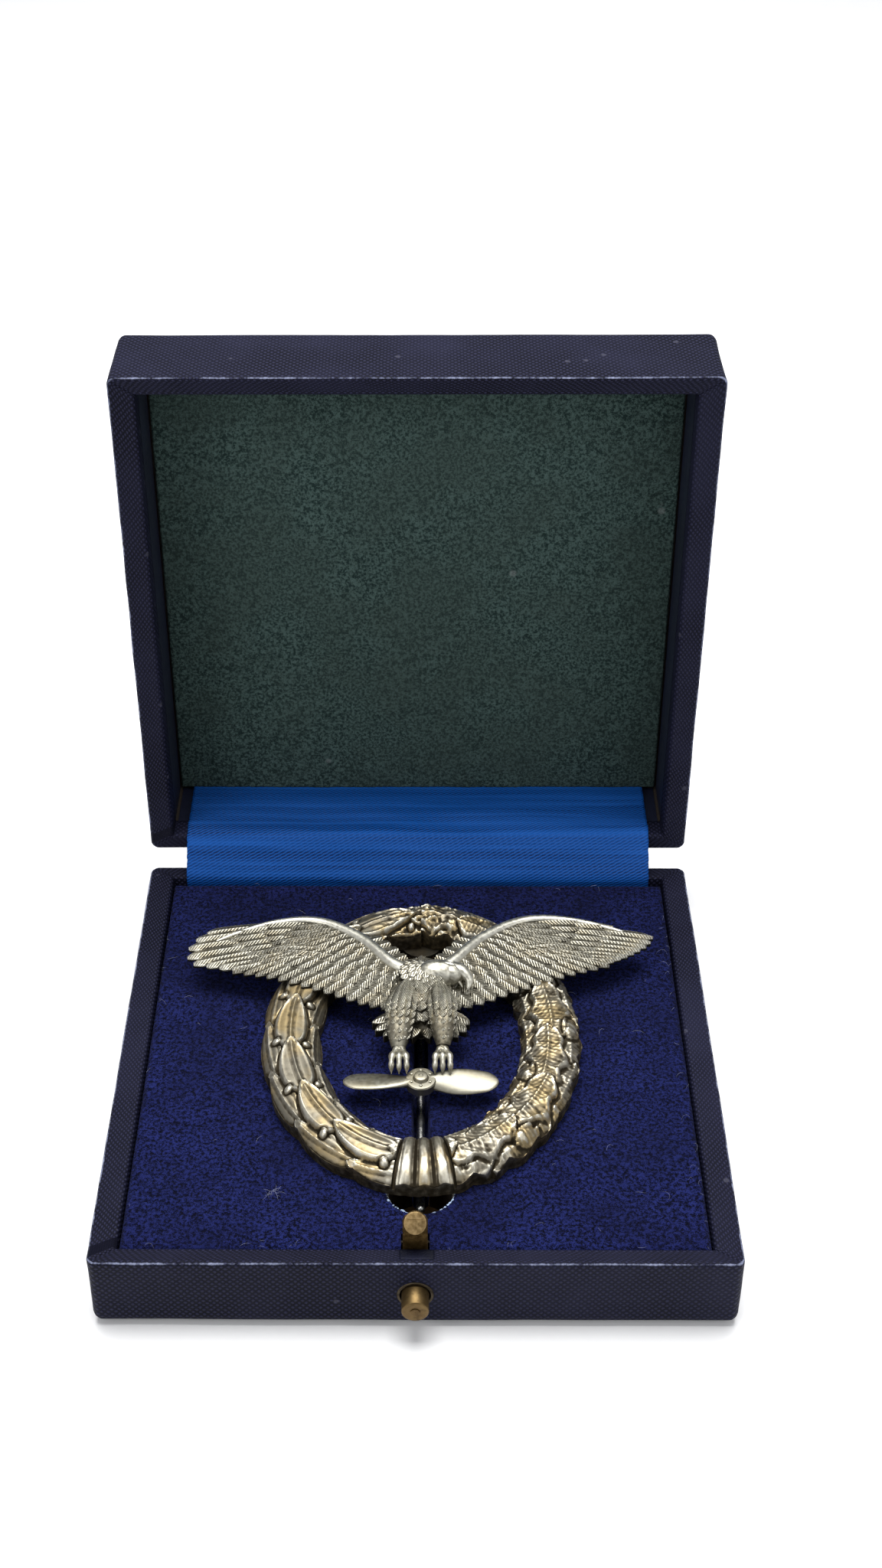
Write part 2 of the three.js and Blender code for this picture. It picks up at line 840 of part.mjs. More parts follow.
function birdSolid() {
  const low = wreathThickness + wingSeat;
  const crown = wreathThickness + bodyRise;
  const wings = [-1, 1].map((side) => alongZ(wingOutline(side), low, low + wingThickness));
  const tail = alongZ(tailOutline(), low - 0.7, low + 0.8);
  const breast = ball(4.6, 6, crown - low, 0, 5.2, low);
  const head = ball(2.5, 2.5, 2.2, 1.2, 10, low + 1.1);
  const beak = ball(1.7, 0.8, 0.9, 3.8, 9.6, low + 1.1);
  const thighs = [-1, 1].map((side) => ball(1.7, 4, 1.7, side * 2.8, -0.8, low + 0.5));
  const feet = [-1, 1].map((side) => ball(1.3, 3.1, 0.8, side * 2.8, -5.8, low + 0.2));
  return join(wings[0], wings[1], tail, breast, head, beak, ...thighs, ...feet);
}

// A two-blade aircraft propeller seen from the front.
function propellerBlades() {
  const half = propellerLength / 2;
  const blade = new THREE.SplineCurve([
    new THREE.Vector2(0.8, 0.9),
    new THREE.Vector2(0.32 * half, 1.35),
    new THREE.Vector2(0.62 * half, 1.75),
    new THREE.Vector2(0.88 * half, 1.45),
    new THREE.Vector2(half, 0),
    new THREE.Vector2(0.88 * half, -1.45),
    new THREE.Vector2(0.62 * half, -1.75),
    new THREE.Vector2(0.32 * half, -1.35),
    new THREE.Vector2(0.8, -0.9),
  ]).getPoints(28);
  const outline = (side) => new THREE.Shape(blade.map((p) => new THREE.Vector2(side * p.x, p.y)));
  const low = propellerLow;
  const high = propellerLow + propellerThickness;
  const blades = [-1, 1].map((side) => alongZ(outline(side), low + 0.2, high - 0.1));
  return join(barZ(propellerHubRadius, low, high, 0, 0), ...blades).translate(0, propellerY, 0);
}

function hingeBlock() {
  const inner = eyeWidth / 2 + earGap;
  const outer = inner + earThickness;
  const y0 = needleHingeY - earHalfLength;
  const y1 = needleHingeY + earHalfLength;
  const ear = (x0, x1) =>
    join(
      box(x0, x1, y0, y1, -needleDrop, -solderPlate),
      barX(earHalfLength, x0, x1, needleHingeY, -needleDrop),
    );
  const web = box(-outer, outer, y0, y1, -solderPlate - webThickness, -solderPlate);
  return cut(
    join(web, ear(-outer, -inner), ear(inner, outer)),
    barX(axleRadius + axleClearance, -outer - 1, outer + 1, needleHingeY, -needleDrop),
  );
}

function needleCatch() {
  const y0 = needleCatchY - hookWidth / 2;
  const y1 = needleCatchY + hookWidth / 2;
  const post = box(-0.7, 0.7, y0, y1, -needleDrop + hookBore + 0.1, -solderPlate);
  const ring = tubeY(hookBore, hookOuter, y0, y1, 0, -needleDrop);
  const mouth = box(-hookMouth, hookMouth, y0 - 1, y1 + 1, -needleDrop - 2 * hookOuter, -needleDrop);
  return cut(join(ring, post), mouth);
}

function needleWire() {
  const pointY = needleHingeY - needleReach;
  const shankEnd = pointY + needlePointLength;
  const shank = barY(needleRadius, shankEnd, needleHingeY - eyeBore - 0.3, 0, -needleDrop);
  const point = new THREE.CylinderGeometry(needleRadius, 0.12, needlePointLength, roundSegments)
    .translate(0, (pointY + shankEnd) / 2, -needleDrop);
  const eye = barX(eyeOuter, -eyeWidth / 2, eyeWidth / 2, needleHingeY, -needleDrop);
  const bore = barX(eyeBore, -eyeWidth, eyeWidth, needleHingeY, -needleDrop);
  return cut(join(shank, point, eye), bore);
}

function buildBadge(group) {
  group.position.set(badgeX, badgeY, badgeZ);
  const rivetX = bandMiddleX * Math.sqrt(1 - (rivetY / bandMiddleY) ** 2);
  const rivetHoles = [-1, 1].map((side) =>
    barZ(rivetRadius + rivetClearance, -1, wreathThickness + 1, side * rivetX, rivetY),
  );
  piece(group, "wreath", cut(wreathRing(), ...rivetHoles), wreathSilver);
  piece(group, "bird", birdSolid(), agedSilver);
  piece(group, "propeller", propellerBlades(), agedSilver);
  piece(
    group,
    "propeller_hub",
    barZ(
      hubCapRadius,
      propellerLow + propellerThickness,
      propellerLow + propellerThickness + hubCapThickness,
      0,
      propellerY,
    ),
    agedSilver,
  );
  const rivet = (side) => barZ(rivetRadius, 0, wreathThickness + wingSeat, side * rivetX, rivetY);
  piece(group, "wing_rivet_left", rivet(-1), agedSilver);
  piece(group, "wing_rivet_right", rivet(1), agedSilver);
  piece(group, "hinge_plate", barZ(hingePlateRadius, -solderPlate, 0, 0, needleHingeY), wreathSilver);
  piece(group, "hinge_block", hingeBlock(), wreathSilver);
  const axleHalf = eyeWidth / 2 + earGap + earThickness + 0.2;
  piece(
    group,
    "needle_axle",
    barX(axleRadius, -axleHalf, axleHalf, needleHingeY, -needleDrop),
    springSteel,
  );
  piece(group, "catch_plate", barZ(catchPlateRadius, -solderPlate, 0, 0, needleCatchY), wreathSilver);
  piece(group, "needle_catch", needleCatch(), wreathSilver);
  piece(group, "needle", needleWire(), springSteel);
}

// ---------------------------------------------------------------- assembly

const casedBadge = new THREE.Group();

const base = new THREE.Group();
buildBase(base);
buildPad(base);
buildLatchSeat(base);
buildLatch(base);
buildClothHinge(base);
casedBadge.add(base);

const lid = new THREE.Group();
buildLid(lid);
lid.rotation.x = Math.PI / 2;
lid.position.set(0, lidRimY + lidHeight, lidBottomZ + halfDepth);
casedBadge.add(lid);

const badge = new THREE.Group();
buildBadge(badge);
casedBadge.add(badge);

export default casedBadge;
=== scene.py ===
"""Looks of a pilot's breast badge that lies in its hinged presentation case.

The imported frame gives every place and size. Shapes are worked out in millimetres as whole numpy
arrays and put into meshes in metres, so each finished object sits at the origin of the frame.
"""

import json
import logging
import math
from dataclasses import dataclass, field
from enum import Enum

import bmesh
import bpy
import numpy as np
from mathutils import Matrix, Vector


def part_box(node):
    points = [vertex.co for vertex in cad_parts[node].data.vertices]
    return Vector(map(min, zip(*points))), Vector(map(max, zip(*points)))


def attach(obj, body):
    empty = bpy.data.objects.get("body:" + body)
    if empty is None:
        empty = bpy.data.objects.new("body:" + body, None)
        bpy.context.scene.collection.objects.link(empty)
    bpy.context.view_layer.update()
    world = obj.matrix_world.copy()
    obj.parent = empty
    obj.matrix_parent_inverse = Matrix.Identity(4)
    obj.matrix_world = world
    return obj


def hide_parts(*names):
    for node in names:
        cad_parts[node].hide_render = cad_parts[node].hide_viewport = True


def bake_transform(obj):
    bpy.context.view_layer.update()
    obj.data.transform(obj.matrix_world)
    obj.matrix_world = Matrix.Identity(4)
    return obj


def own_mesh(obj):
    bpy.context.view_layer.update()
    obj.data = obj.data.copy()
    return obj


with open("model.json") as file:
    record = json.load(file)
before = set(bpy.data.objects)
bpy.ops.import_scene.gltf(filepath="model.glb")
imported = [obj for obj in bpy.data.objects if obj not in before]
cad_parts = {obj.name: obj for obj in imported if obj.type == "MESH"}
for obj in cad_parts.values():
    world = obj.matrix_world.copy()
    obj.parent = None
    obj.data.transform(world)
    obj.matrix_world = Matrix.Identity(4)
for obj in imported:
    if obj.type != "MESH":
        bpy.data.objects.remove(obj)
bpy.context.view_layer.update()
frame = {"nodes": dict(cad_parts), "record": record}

LOG = logging.getLogger("cased_badge")
MM = 0.001
SMOOTH_ANGLE = math.radians(40)
Array = np.ndarray


# ---------------------------------------------------------------- numpy helpers


def box_mm(node: str) -> tuple[Array, Array]:
    """Lowest and highest corner of a frame node."""
    low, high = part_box(node)
    return np.array(low) / MM, np.array(high) / MM


def smooth_line(points: list[tuple[float, ...]], count: int) -> Array:
    """Catmull-Rom curve through points, evenly spaced by length.

    Each span is the cubic whose slope at a point is half the step from the point before to the
    point after.

    Args:
        points: the points passed through.
        count: number of samples.

    Returns:
        Array of count samples.
    """
    p = np.array(points, float)
    p = np.concatenate([2 * p[:1] - p[1:2], p, 2 * p[-1:] - p[-2:-1]])
    t = np.linspace(0, 1, 24, endpoint=False)[:, None]
    a, b, c, d = (p[i : len(p) - 3 + i, None] for i in range(4))
    spans = 0.5 * (2 * b + (c - a) * t + (2 * a - 5 * b + 4 * c - d) * t**2 + (3 * b - a - 3 * c + d) * t**3)
    dense = np.concatenate([spans.reshape(-1, p.shape[1]), p[-2:-1]])
    run = np.concatenate([[0], np.cumsum(np.linalg.norm(np.diff(dense, axis=0), axis=1))])
    at = np.linspace(0, run[-1], count)
    return np.stack([np.interp(at, run, dense[:, k]) for k in range(p.shape[1])], 1)


def ripple(points: Array, size: float, seed: int, octaves: int = 3) -> Array:
    """Soft unevenness in space, about -1 to 1.

    Formula: the mean of sines of the position along seeded directions, each octave at twice the
    frequency and half the height of the last.

    Args:
        points: array of points, last axis x, y, z.
        size: length of the largest waves, in the points' own unit.
        seed: seed of the directions.
        octaves: number of halvings.

    Returns:
        One value for each point.
    """
    rng = np.random.default_rng(seed)
    total = np.zeros(points.shape[:-1])
    for octave in range(octaves):
        ways = rng.normal(size=(6, points.shape[-1])) * 2 * np.pi * 2**octave / size
        shifts = rng.uniform(0, 2 * np.pi, 6)
        total += np.sin(points @ ways.T + shifts).sum(-1) / 2.4 / 2**octave
    return total / 1.6


def bump_of(x: Array, width: float) -> Array:
    """Bell curve: e to the minus (x over width) squared."""
    return np.exp(-((x / width) ** 2))


class Shape:
    """Grids of points in millimetres, gathered into the mesh of one piece."""

    def __init__(self, name: str) -> None:
        """Starts an empty shape.

        Args:
            name: name of the piece.
        """
        self.name = name
        self.points: list[Array] = []
        self.faces: list[list[int]] = []
        self.values: dict[str, list[Array]] = {}
        self.count = 0

    def add(
        self,
        grid: Array,
        wrap: tuple[bool, bool] = (False, False),
        caps: tuple[bool, bool] = (False, False),
        **values: Array | float,
    ) -> None:
        """Adds one grid, whose faces join neighbouring rows and columns.

        Args:
            grid: points by row and column.
            wrap: whether the last row joins the first, and the last column the first.
            caps: whether the first and the last row are closed by a fan to their middle.
            values: values kept at the points, such as u, v, wear and relief.
        """
        rows, cols = grid.shape[:2]
        index = self.count + np.arange(rows * cols).reshape(rows, cols)
        index = np.concatenate([index, index[:1]]) if wrap[0] else index
        index = np.concatenate([index, index[:, :1]], 1) if wrap[1] else index
        quads = np.stack([index[:-1, :-1], index[:-1, 1:], index[1:, 1:], index[1:, :-1]], -1)
        self.faces += quads.reshape(-1, 4).tolist()
        flat = [grid.reshape(-1, 3)]
        kept = {k: [np.broadcast_to(v, (rows, cols)).reshape(-1)] for k, v in values.items()}
        for cap, row in zip(caps, (0, rows - 1)):
            if cap:
                middle = self.count + sum(len(f) for f in flat)
                ring = index[row]
                fan = np.stack([ring[:-1], ring[1:], np.full(len(ring) - 1, middle)], -1)
                self.faces += fan.tolist()
                flat.append(grid[row].mean(0)[None])
                for k, v in kept.items():
                    v.append(v[0].reshape(rows, cols)[row].mean(keepdims=True))
        added = sum(len(f) for f in flat)
        for k in set(self.values) | set(kept):
            before = self.values.setdefault(k, [np.zeros(self.count)] if self.count else [])
            before += kept.get(k, [np.zeros(added)])
        self.points += flat
        self.count += added

    def add_closed(self, grid: Array, **values: Array | float) -> None:
        """Adds a grid whose columns go all the way round and whose end rows are capped."""
        self.add(grid, wrap=(False, True), caps=(True, True), **values)

    def mesh(self) -> bpy.types.Mesh:
        """The gathered points and faces as one mesh in metres, its faces turned outwards."""
        mesh = bpy.data.meshes.new(self.name)
        mesh.from_pydata((np.concatenate(self.points) * MM).tolist(), [], self.faces)
        self.write_values(mesh)
        solid = bmesh.new()
        solid.from_mesh(mesh)
        bmesh.ops.recalc_face_normals(solid, faces=solid.faces)
        solid.to_mesh(mesh)
        solid.free()
        return mesh

    def write_values(self, mesh: bpy.types.Mesh) -> None:
        """Writes the kept values: u and v as the UV map, the others as point attributes."""
        flat = {k: np.concatenate(v).astype(np.float32) for k, v in self.values.items()}
        for key in set(flat) - {"u", "v"}:
            mesh.attributes.new(key, "FLOAT", "POINT").data.foreach_set("value", flat[key])
        if "u" in flat:
            corner = np.zeros(len(mesh.loops), np.int32)
            mesh.loops.foreach_get("vertex_index", corner)
            uv = np.stack([flat["u"], flat["v"]], 1)[corner]
            mesh.uv_layers.new(name="UVMap").data.foreach_set("uv", uv.reshape(-1))

    def build(self, finish: "Finish", body: str, stands_for: tuple[str, ...] = ()) -> bpy.types.Object:
        """Makes the piece."""
        return place(bpy.data.objects.new(self.name, self.mesh()), finish, body, stands_for)


def place(
    piece: bpy.types.Object,
    finish: "Finish",
    body: str,
    stands_for: tuple[str, ...] = (),
) -> bpy.types.Object:
    """Links a piece, shades it smooth, dresses it and lets it ride.

    Args:
        piece: the new object.
        finish: the finish it wears.
        body: the body it rides on, or an empty string.
        stands_for: the frame nodes that it replaces.

    Returns:
        The same object.
    """
    bpy.context.scene.collection.objects.link(piece)
    piece.data.polygons.foreach_set("use_smooth", np.ones(len(piece.data.polygons), bool))
    piece.data.set_sharp_from_angle(angle=SMOOTH_ANGLE)
    piece.data.materials.clear()
    piece.data.materials.append(finish.material())
    if body:
        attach(piece, body)
    if stands_for:
        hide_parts(*stands_for)
    LOG.info("%s: %d faces, %s", piece.name, len(piece.data.polygons), finish.slot)
    return piece


def settle(piece: bpy.types.Object, *cutters: bpy.types.Object) -> bpy.types.Object:
    """Applies a piece's modifiers, after cutting the cutters out of it, and removes the cutters.

    Args:
        piece: the object.
        cutters: closed objects to cut away.

    Returns:
        The same object with a plain mesh.
    """
    for cutter in cutters:
        cut = piece.modifiers.new("cut", "BOOLEAN")
        cut.operation, cut.object, cut.solver = "DIFFERENCE", cutter, "EXACT"
    bpy.context.view_layer.update()
    graph = bpy.context.evaluated_depsgraph_get()
    mesh = bpy.data.meshes.new_from_object(piece.evaluated_get(graph))
    piece.modifiers.clear()
    piece.data = mesh
    for cutter in cutters:
        bpy.data.objects.remove(cutter)
    return piece


def softened_copy(node: str, finish: "Finish", body: str, radius: float) -> bpy.types.Object:
    """A copy of a frame node with its sharp edges rounded.

    Args:
        node: the node that the copy stands for.
        finish: the finish it wears.
        body: the body it rides on.
        radius: radius of the rounding, in millimetres.

    Returns:
        The copy.
    """
    mesh = frame["nodes"][node].data.copy()
    solid = bmesh.new()
    solid.from_mesh(mesh)
    bmesh.ops.remove_doubles(solid, verts=solid.verts, dist=0.002 * MM)
    bmesh.ops.dissolve_limit(solid, angle_limit=math.radians(2), verts=solid.verts, edges=solid.edges)
    bmesh.ops.recalc_face_normals(solid, faces=solid.faces)
    solid.to_mesh(mesh)
    solid.free()
    piece = bpy.data.objects.new(node + "_rounded", mesh)
    piece = place(piece, finish, body, (node,))
    bevel = piece.modifiers.new("rounding", "BEVEL")
    bevel.width, bevel.segments, bevel.limit_method = radius * MM, 2, "ANGLE"
    bevel.angle_limit = math.radians(32)
    return piece


def turned(profile: list[tuple[float, float]], segments: int = 48) -> Array:
    """Surface of revolution about the Y axis.

    Formula: the profile's radius times (cosine, sine) of the turn gives x and z.

    Args:
        profile: (y, radius) pairs.
        segments: columns round the axis.

    Returns:
        Grid of points, rows along the profile.
    """
    y, radius = np.array(profile).T
    turn = np.linspace(0, 2 * np.pi, segments, endpoint=False)
    return np.stack(
        [
            radius[:, None] * np.cos(turn),
            np.broadcast_to(y[:, None], (len(y), segments)),
            radius[:, None] * np.sin(turn),
        ],
        -1,
    )


def swept(line: Array, across: Array, up: Array, segments: int = 16) -> Array:
    """Tube along a line, wider than high where asked.

    Formula: line + cosine of the turn times the half width, sideways, + sine of the turn times
    the half height, upwards. Sideways is level and square to the line.

    Args:
        line: points of the middle line.
        across: half width at each point.
        up: half height at each point.
        segments: columns round the line.

    Returns:
        Grid of points, rows along the line.
    """
    along = np.gradient(line, axis=0)
    along /= np.linalg.norm(along, axis=1, keepdims=True)
    side = np.stack([along[:, 1], -along[:, 0], np.zeros(len(line))], 1)
    side /= np.maximum(np.linalg.norm(side, axis=1, keepdims=True), 1e-6)
    top = np.cross(side, along)
    turn = np.linspace(0, 2 * np.pi, segments, endpoint=False)[None, :, None]
    wide = np.cos(turn) * (side * across[:, None])[:, None]
    high = np.sin(turn) * (top * up[:, None])[:, None]
    return line[:, None] + wide + high


# ---------------------------------------------------------------- shader helpers


class Tree:
    """Adds nodes to a node tree and links them."""

    def __init__(self, tree: bpy.types.NodeTree) -> None:
        """Keeps the tree."""
        self.tree = tree

    def add(self, kind: str, inputs: dict | None = None, **settings) -> bpy.types.Node:
        """Adds a node.

        Args:
            kind: node type without its ShaderNode prefix.
            inputs: values or sockets by input name or number.
            settings: the node's own properties.

        Returns:
            The node.
        """
        node = self.tree.nodes.new("ShaderNode" + kind)
        for key, value in settings.items():
            setattr(node, key, value)
        for key, value in (inputs or {}).items():
            if isinstance(value, bpy.types.NodeSocket):
                self.tree.links.new(value, node.inputs[key])
            else:
                node.inputs[key].default_value = value
        return node

    def sum(self, operation: str, a, b=0.0, clamp: bool = False) -> bpy.types.NodeSocket:
        """Output of a Math node on one or two values or sockets."""
        return self.add("Math", {0: a, 1: b}, operation=operation, use_clamp=clamp).outputs[0]

    def times(self, a, b) -> bpy.types.NodeSocket:
        """Product of two values or sockets."""
        return self.sum("MULTIPLY", a, b)

    def plus(self, a, b) -> bpy.types.NodeSocket:
        """Sum of two values or sockets."""
        return self.sum("ADD", a, b)

    def link(self, value: bpy.types.NodeSocket, socket: bpy.types.NodeSocket) -> None:
        """Leads an output into an input."""
        self.tree.links.new(value, socket)

    def noise(self, vector, scale: float, detail: float = 3, rough: float = 0.55) -> bpy.types.NodeSocket:
        """Output of a Noise Texture on a vector."""
        inputs = {"Vector": vector, "Scale": scale, "Detail": detail, "Roughness": rough}
        return self.add("TexNoise", inputs).outputs["Fac"]

    def ramp(self, value, low: float, high: float) -> bpy.types.NodeSocket:
        """Output that rises smoothly from 0 at low to 1 at high."""
        inputs = {"Value": value, "From Min": low, "From Max": high}
        return self.add("MapRange", inputs, interpolation_type="SMOOTHSTEP").outputs[0]

    def mix(self, share, a, b) -> bpy.types.NodeSocket:
        """Colour a where share is 0 and colour b where it is 1."""
        inputs = {"Factor": share, "A": a, "B": b}
        node = self.add("Mix", None, data_type="RGBA")
        for name, value in inputs.items():
            socket = next(
                s for s in node.inputs if s.name == name and (name == "Factor" or s.type == "RGBA")
            )
            if isinstance(value, bpy.types.NodeSocket):
                self.tree.links.new(value, socket)
            else:
                socket.default_value = (*value, 1.0) if name != "Factor" and len(value) == 3 else value
        return next(s for s in node.outputs if s.type == "RGBA")


class Effect(Enum):
    """Shader effects that several finishes share."""

    GRAIN = "cross_grain"
    WEAR = "edge_wear"
    PILE = "cloth_pile"
    TWILL = "twill_weave"
    TARNISH = "tarnish"
    SPECKS = "specks"
    BARBS = "feather_barbs"


def new_group(effect: Effect, inputs: dict[str, str], outputs: dict[str, str]) -> tuple:
    """Starts a shader node group.

    Args:
        effect: which effect it is.
        inputs: socket types by input name.
        outputs: socket types by output name.

    Returns:
        The group, its Tree, its input node and its output node.
    """
    group = bpy.data.node_groups.new(effect.value, "ShaderNodeTree")
    for names, way in ((inputs, "INPUT"), (outputs, "OUTPUT")):
        for name, kind in names.items():
            group.interface.new_socket(name=name, in_out=way, socket_type="NodeSocket" + kind)
    into, out = group.nodes.new("NodeGroupInput"), group.nodes.new("NodeGroupOutput")
    return group, Tree(group), into, out


def make_grain() -> bpy.types.NodeTree:
    """Fine crossed ridges at 45 degrees, broken up by noise, as on book cloth leatherette."""
    inputs = {"Vector": "Vector", "Scale": "Float"}
    group, t, into, out = new_group(Effect.GRAIN, inputs, {"Height": "Float"})
    warp = t.add(
        "TexNoise", {"Vector": into.outputs["Vector"], "Scale": 900.0, "Detail": 2.0}
    ).outputs["Color"]
    moved = t.add("VectorMath", {0: warp, "Scale": 0.00022}, operation="SCALE").outputs[0]
    base = t.add("VectorMath", {0: into.outputs["Vector"], 1: moved}, operation="ADD").outputs[0]
    lines = []
    for angle in (45, -45):
        turned_by = t.add("Mapping", {"Vector": base, "Rotation": (0, 0, math.radians(angle))}).outputs[0]
        wave = t.add(
            "TexWave",
            {"Vector": turned_by, "Scale": into.outputs["Scale"], "Distortion": 1.4, "Detail": 1.0},
        )
        lines.append(wave.outputs["Fac"])
    crossed = t.times(lines[0], lines[1])
    fine = t.noise(into.outputs["Vector"], 5200.0, 2)
    both = t.plus(crossed, t.times(fine, 0.55))
    t.link(both, out.inputs["Height"])
    return group


def make_wear() -> bpy.types.NodeTree:
    """Edge wear: the wear kept at the points, eaten into by noise of two sizes."""
    group, t, into, out = new_group(Effect.WEAR, {"Vector": "Vector", "Wear": "Float"}, {"Mask": "Float"})
    coarse = t.noise(into.outputs["Vector"], 420.0, 3)
    fine = t.noise(into.outputs["Vector"], 2600.0, 2)
    broken = t.plus(t.times(coarse, 1.5), t.times(fine, 0.9))
    edge = t.sum("SUBTRACT", t.times(into.outputs["Wear"], 1.75), broken)
    t.link(t.ramp(edge, 0.1, 0.75), out.inputs["Mask"])
    return group


def make_pile() -> bpy.types.NodeTree:
    """Cloth pile: clumps a few fibres wide over fine fibre noise, with soft brushed patches."""
    outputs = {"Height": "Float", "Shade": "Float", "Patch": "Float"}
    group, t, into, out = new_group(Effect.PILE, {"Vector": "Vector", "Scale": "Float"}, outputs)
    vector, scale = into.outputs["Vector"], into.outputs["Scale"]
    clump = t.add("TexNoise", {"Vector": vector, "Scale": scale, "Detail": 3.0, "Roughness": 0.65})
    fibre_scale = t.times(scale, 3.7)
    fibre = t.add("TexNoise", {"Vector": vector, "Scale": fibre_scale, "Detail": 2.0, "Distortion": 0.6})
    height = t.plus(clump.outputs["Fac"], t.times(fibre.outputs["Fac"], 0.6))
    t.link(height, out.inputs["Height"])
    t.link(t.ramp(height, 0.67, 0.95), out.inputs["Shade"])
    t.link(t.ramp(t.noise(vector, 95.0, 4), 0.36, 0.66), out.inputs["Patch"])
    return group


def make_twill() -> bpy.types.NodeTree:
    """Twill: diagonal floats over crossed threads, in the cloth's own UV, which is in metres."""
    outputs = {"Height": "Float", "Float": "Float"}
    group, t, into, out = new_group(Effect.TWILL, {"Vector": "Vector", "Scale": "Float"}, outputs)
    parts = []
    for angle, strength in ((62, 1.0), (90, 0.4)):
        at = t.add(
            "Mapping", {"Vector": into.outputs["Vector"], "Rotation": (0, 0, math.radians(angle))}
        ).outputs[0]
        wave = t.add(
            "TexWave", {"Vector": at, "Scale": into.outputs["Scale"], "Distortion": 0.5, "Detail": 2.0}
        )
        parts.append(t.times(wave.outputs["Fac"], strength))
    both = t.plus(parts[0], parts[1])
    t.link(both, out.inputs["Height"])
    t.link(t.ramp(both, 0.25, 0.95), out.inputs["Float"])
    return group


def make_tarnish() -> bpy.types.NodeTree:
    """Tarnish: dark where the relief is low, bright where it is high, stained in patches."""
    outputs = {"Dark": "Float", "Bright": "Float", "Stain": "Float", "Fine": "Float"}
    inputs = {"Vector": "Vector", "Relief": "Float", "Scale": "Float"}
    group, t, into, out = new_group(Effect.TARNISH, inputs, outputs)
    vector, scale = into.outputs["Vector"], into.outputs["Scale"]
    fine = t.add("TexNoise", {"Vector": vector, "Scale": t.times(scale, 6.0), "Detail": 4.0}).outputs["Fac"]
    coarse = t.add("TexNoise", {"Vector": vector, "Scale": scale, "Detail": 3.0}).outputs["Fac"]
    shaken = t.plus(into.outputs["Relief"], t.times(t.sum("SUBTRACT", fine, 0.5), 0.9))
    t.link(t.ramp(t.times(shaken, -1.0), -0.18, 0.5), out.inputs["Dark"])
    t.link(t.ramp(shaken, 0.25, 0.95), out.inputs["Bright"])
    t.link(t.ramp(coarse, 0.42, 0.66), out.inputs["Stain"])
    t.link(fine, out.inputs["Fine"])
    return group


def make_specks() -> bpy.types.NodeTree:
    """Sparse dust: small spots round the seed points of a cell pattern, kept where noise is high."""
    inputs = {"Vector": "Vector", "Scale": "Float", "Share": "Float"}
    group, t, into, out = new_group(Effect.SPECKS, inputs, {"Mask": "Float"})
    cells = t.add("TexVoronoi", {"Vector": into.outputs["Vector"], "Scale": into.outputs["Scale"]})
    spot = t.ramp(t.times(cells.outputs["Distance"], -1.0), -0.2, -0.1)
    pick = t.add("SeparateColor", {0: cells.outputs["Color"]}).outputs[0]
    kept = t.sum("LESS_THAN", pick, into.outputs["Share"])
    t.link(t.times(spot, kept), out.inputs["Mask"])
    return group


def make_barbs() -> bpy.types.NodeTree:
    """Feather barbs: lines that slant away on both sides of the shaft, in the feather's own UV."""
    group, t, into, out = new_group(Effect.BARBS, {"Vector": "Vector", "Scale": "Float"}, {"Line": "Float"})
    parts = t.add("SeparateXYZ", {0: into.outputs["Vector"]})
    across = t.times(t.sum("ABSOLUTE", parts.outputs["X"]), -17000.0)
    along = t.times(parts.outputs["Y"], 13500.0)
    wave = t.sum("SINE", t.times(t.plus(along, across), into.outputs["Scale"]))
    t.link(wave, out.inputs["Line"])
    return group


GROUPS: dict[Effect, bpy.types.NodeTree] = {}
MAKERS = {
    Effect.GRAIN: make_grain,
    Effect.WEAR: make_wear,
    Effect.PILE: make_pile,
    Effect.TWILL: make_twill,
    Effect.TARNISH: make_tarnish,
    Effect.SPECKS: make_specks,
    Effect.BARBS: make_barbs,
}


@dataclass(frozen=True)
class Finish:
    """A finish: a record slot and the numbers of its material."""

    name: str
    slot: str
    colour: tuple[float, float, float]
    rough: float

    def material(self) -> bpy.types.Material:
        """The finish's material, made on first use."""
        found = bpy.data.materials.get(self.name)
        if found:
            return found
        made = bpy.data.materials.new(self.name)
        made.use_nodes = True
        made.node_tree.nodes.clear()
        tree = Tree(made.node_tree)
        shader = tree.add("BsdfPrincipled", {"Roughness": self.rough, "Base Color": (*self.colour, 1)})
        output = tree.add("OutputMaterial", {"Surface": shader.outputs[0]})
        output.is_active_output = True
        self.dress(tree, shader)
        return made

    def dress(self, t: Tree, shader: bpy.types.Node) -> None:
        """Adds the finish's own nodes to its material.

        Args:
            t: the material's tree.
            shader: its Principled BSDF.
        """

    @staticmethod
    def effect(t: Tree, effect: Effect, inputs: dict) -> bpy.types.Node:
        """Places a shared effect.

        Args:
            t: the material's tree.
            effect: which effect.
            inputs: values or sockets by input name.

        Returns:
            The group node.
        """
        if effect not in GROUPS:
            GROUPS[effect] = MAKERS[effect]()
        return t.add("Group", inputs, node_tree=GROUPS[effect])

    @staticmethod
    def space(t: Tree) -> bpy.types.NodeSocket:
        """The piece's Object coordinates."""
        return t.add("TexCoord").outputs["Object"]

    @staticmethod
    def cloth_map(t: Tree) -> bpy.types.NodeSocket:
        """The piece's own UV map."""
        return t.add("UVMap", None, uv_map="UVMap").outputs[0]

    @staticmethod
    def kept(t: Tree, name: str) -> bpy.types.NodeSocket:
        """A value kept at the piece's points."""
        return t.add("Attribute", None, attribute_name=name).outputs["Fac"]

    @staticmethod
    def raise_by(t: Tree, shader: bpy.types.Node, height, depth: float, strength: float) -> None:
        """Feeds a height into the shader's normal, depth in metres."""
        bump = t.add("Bump", {"Height": height, "Distance": depth, "Strength": strength})
        t.link(bump.outputs[0], shader.inputs["Normal"])


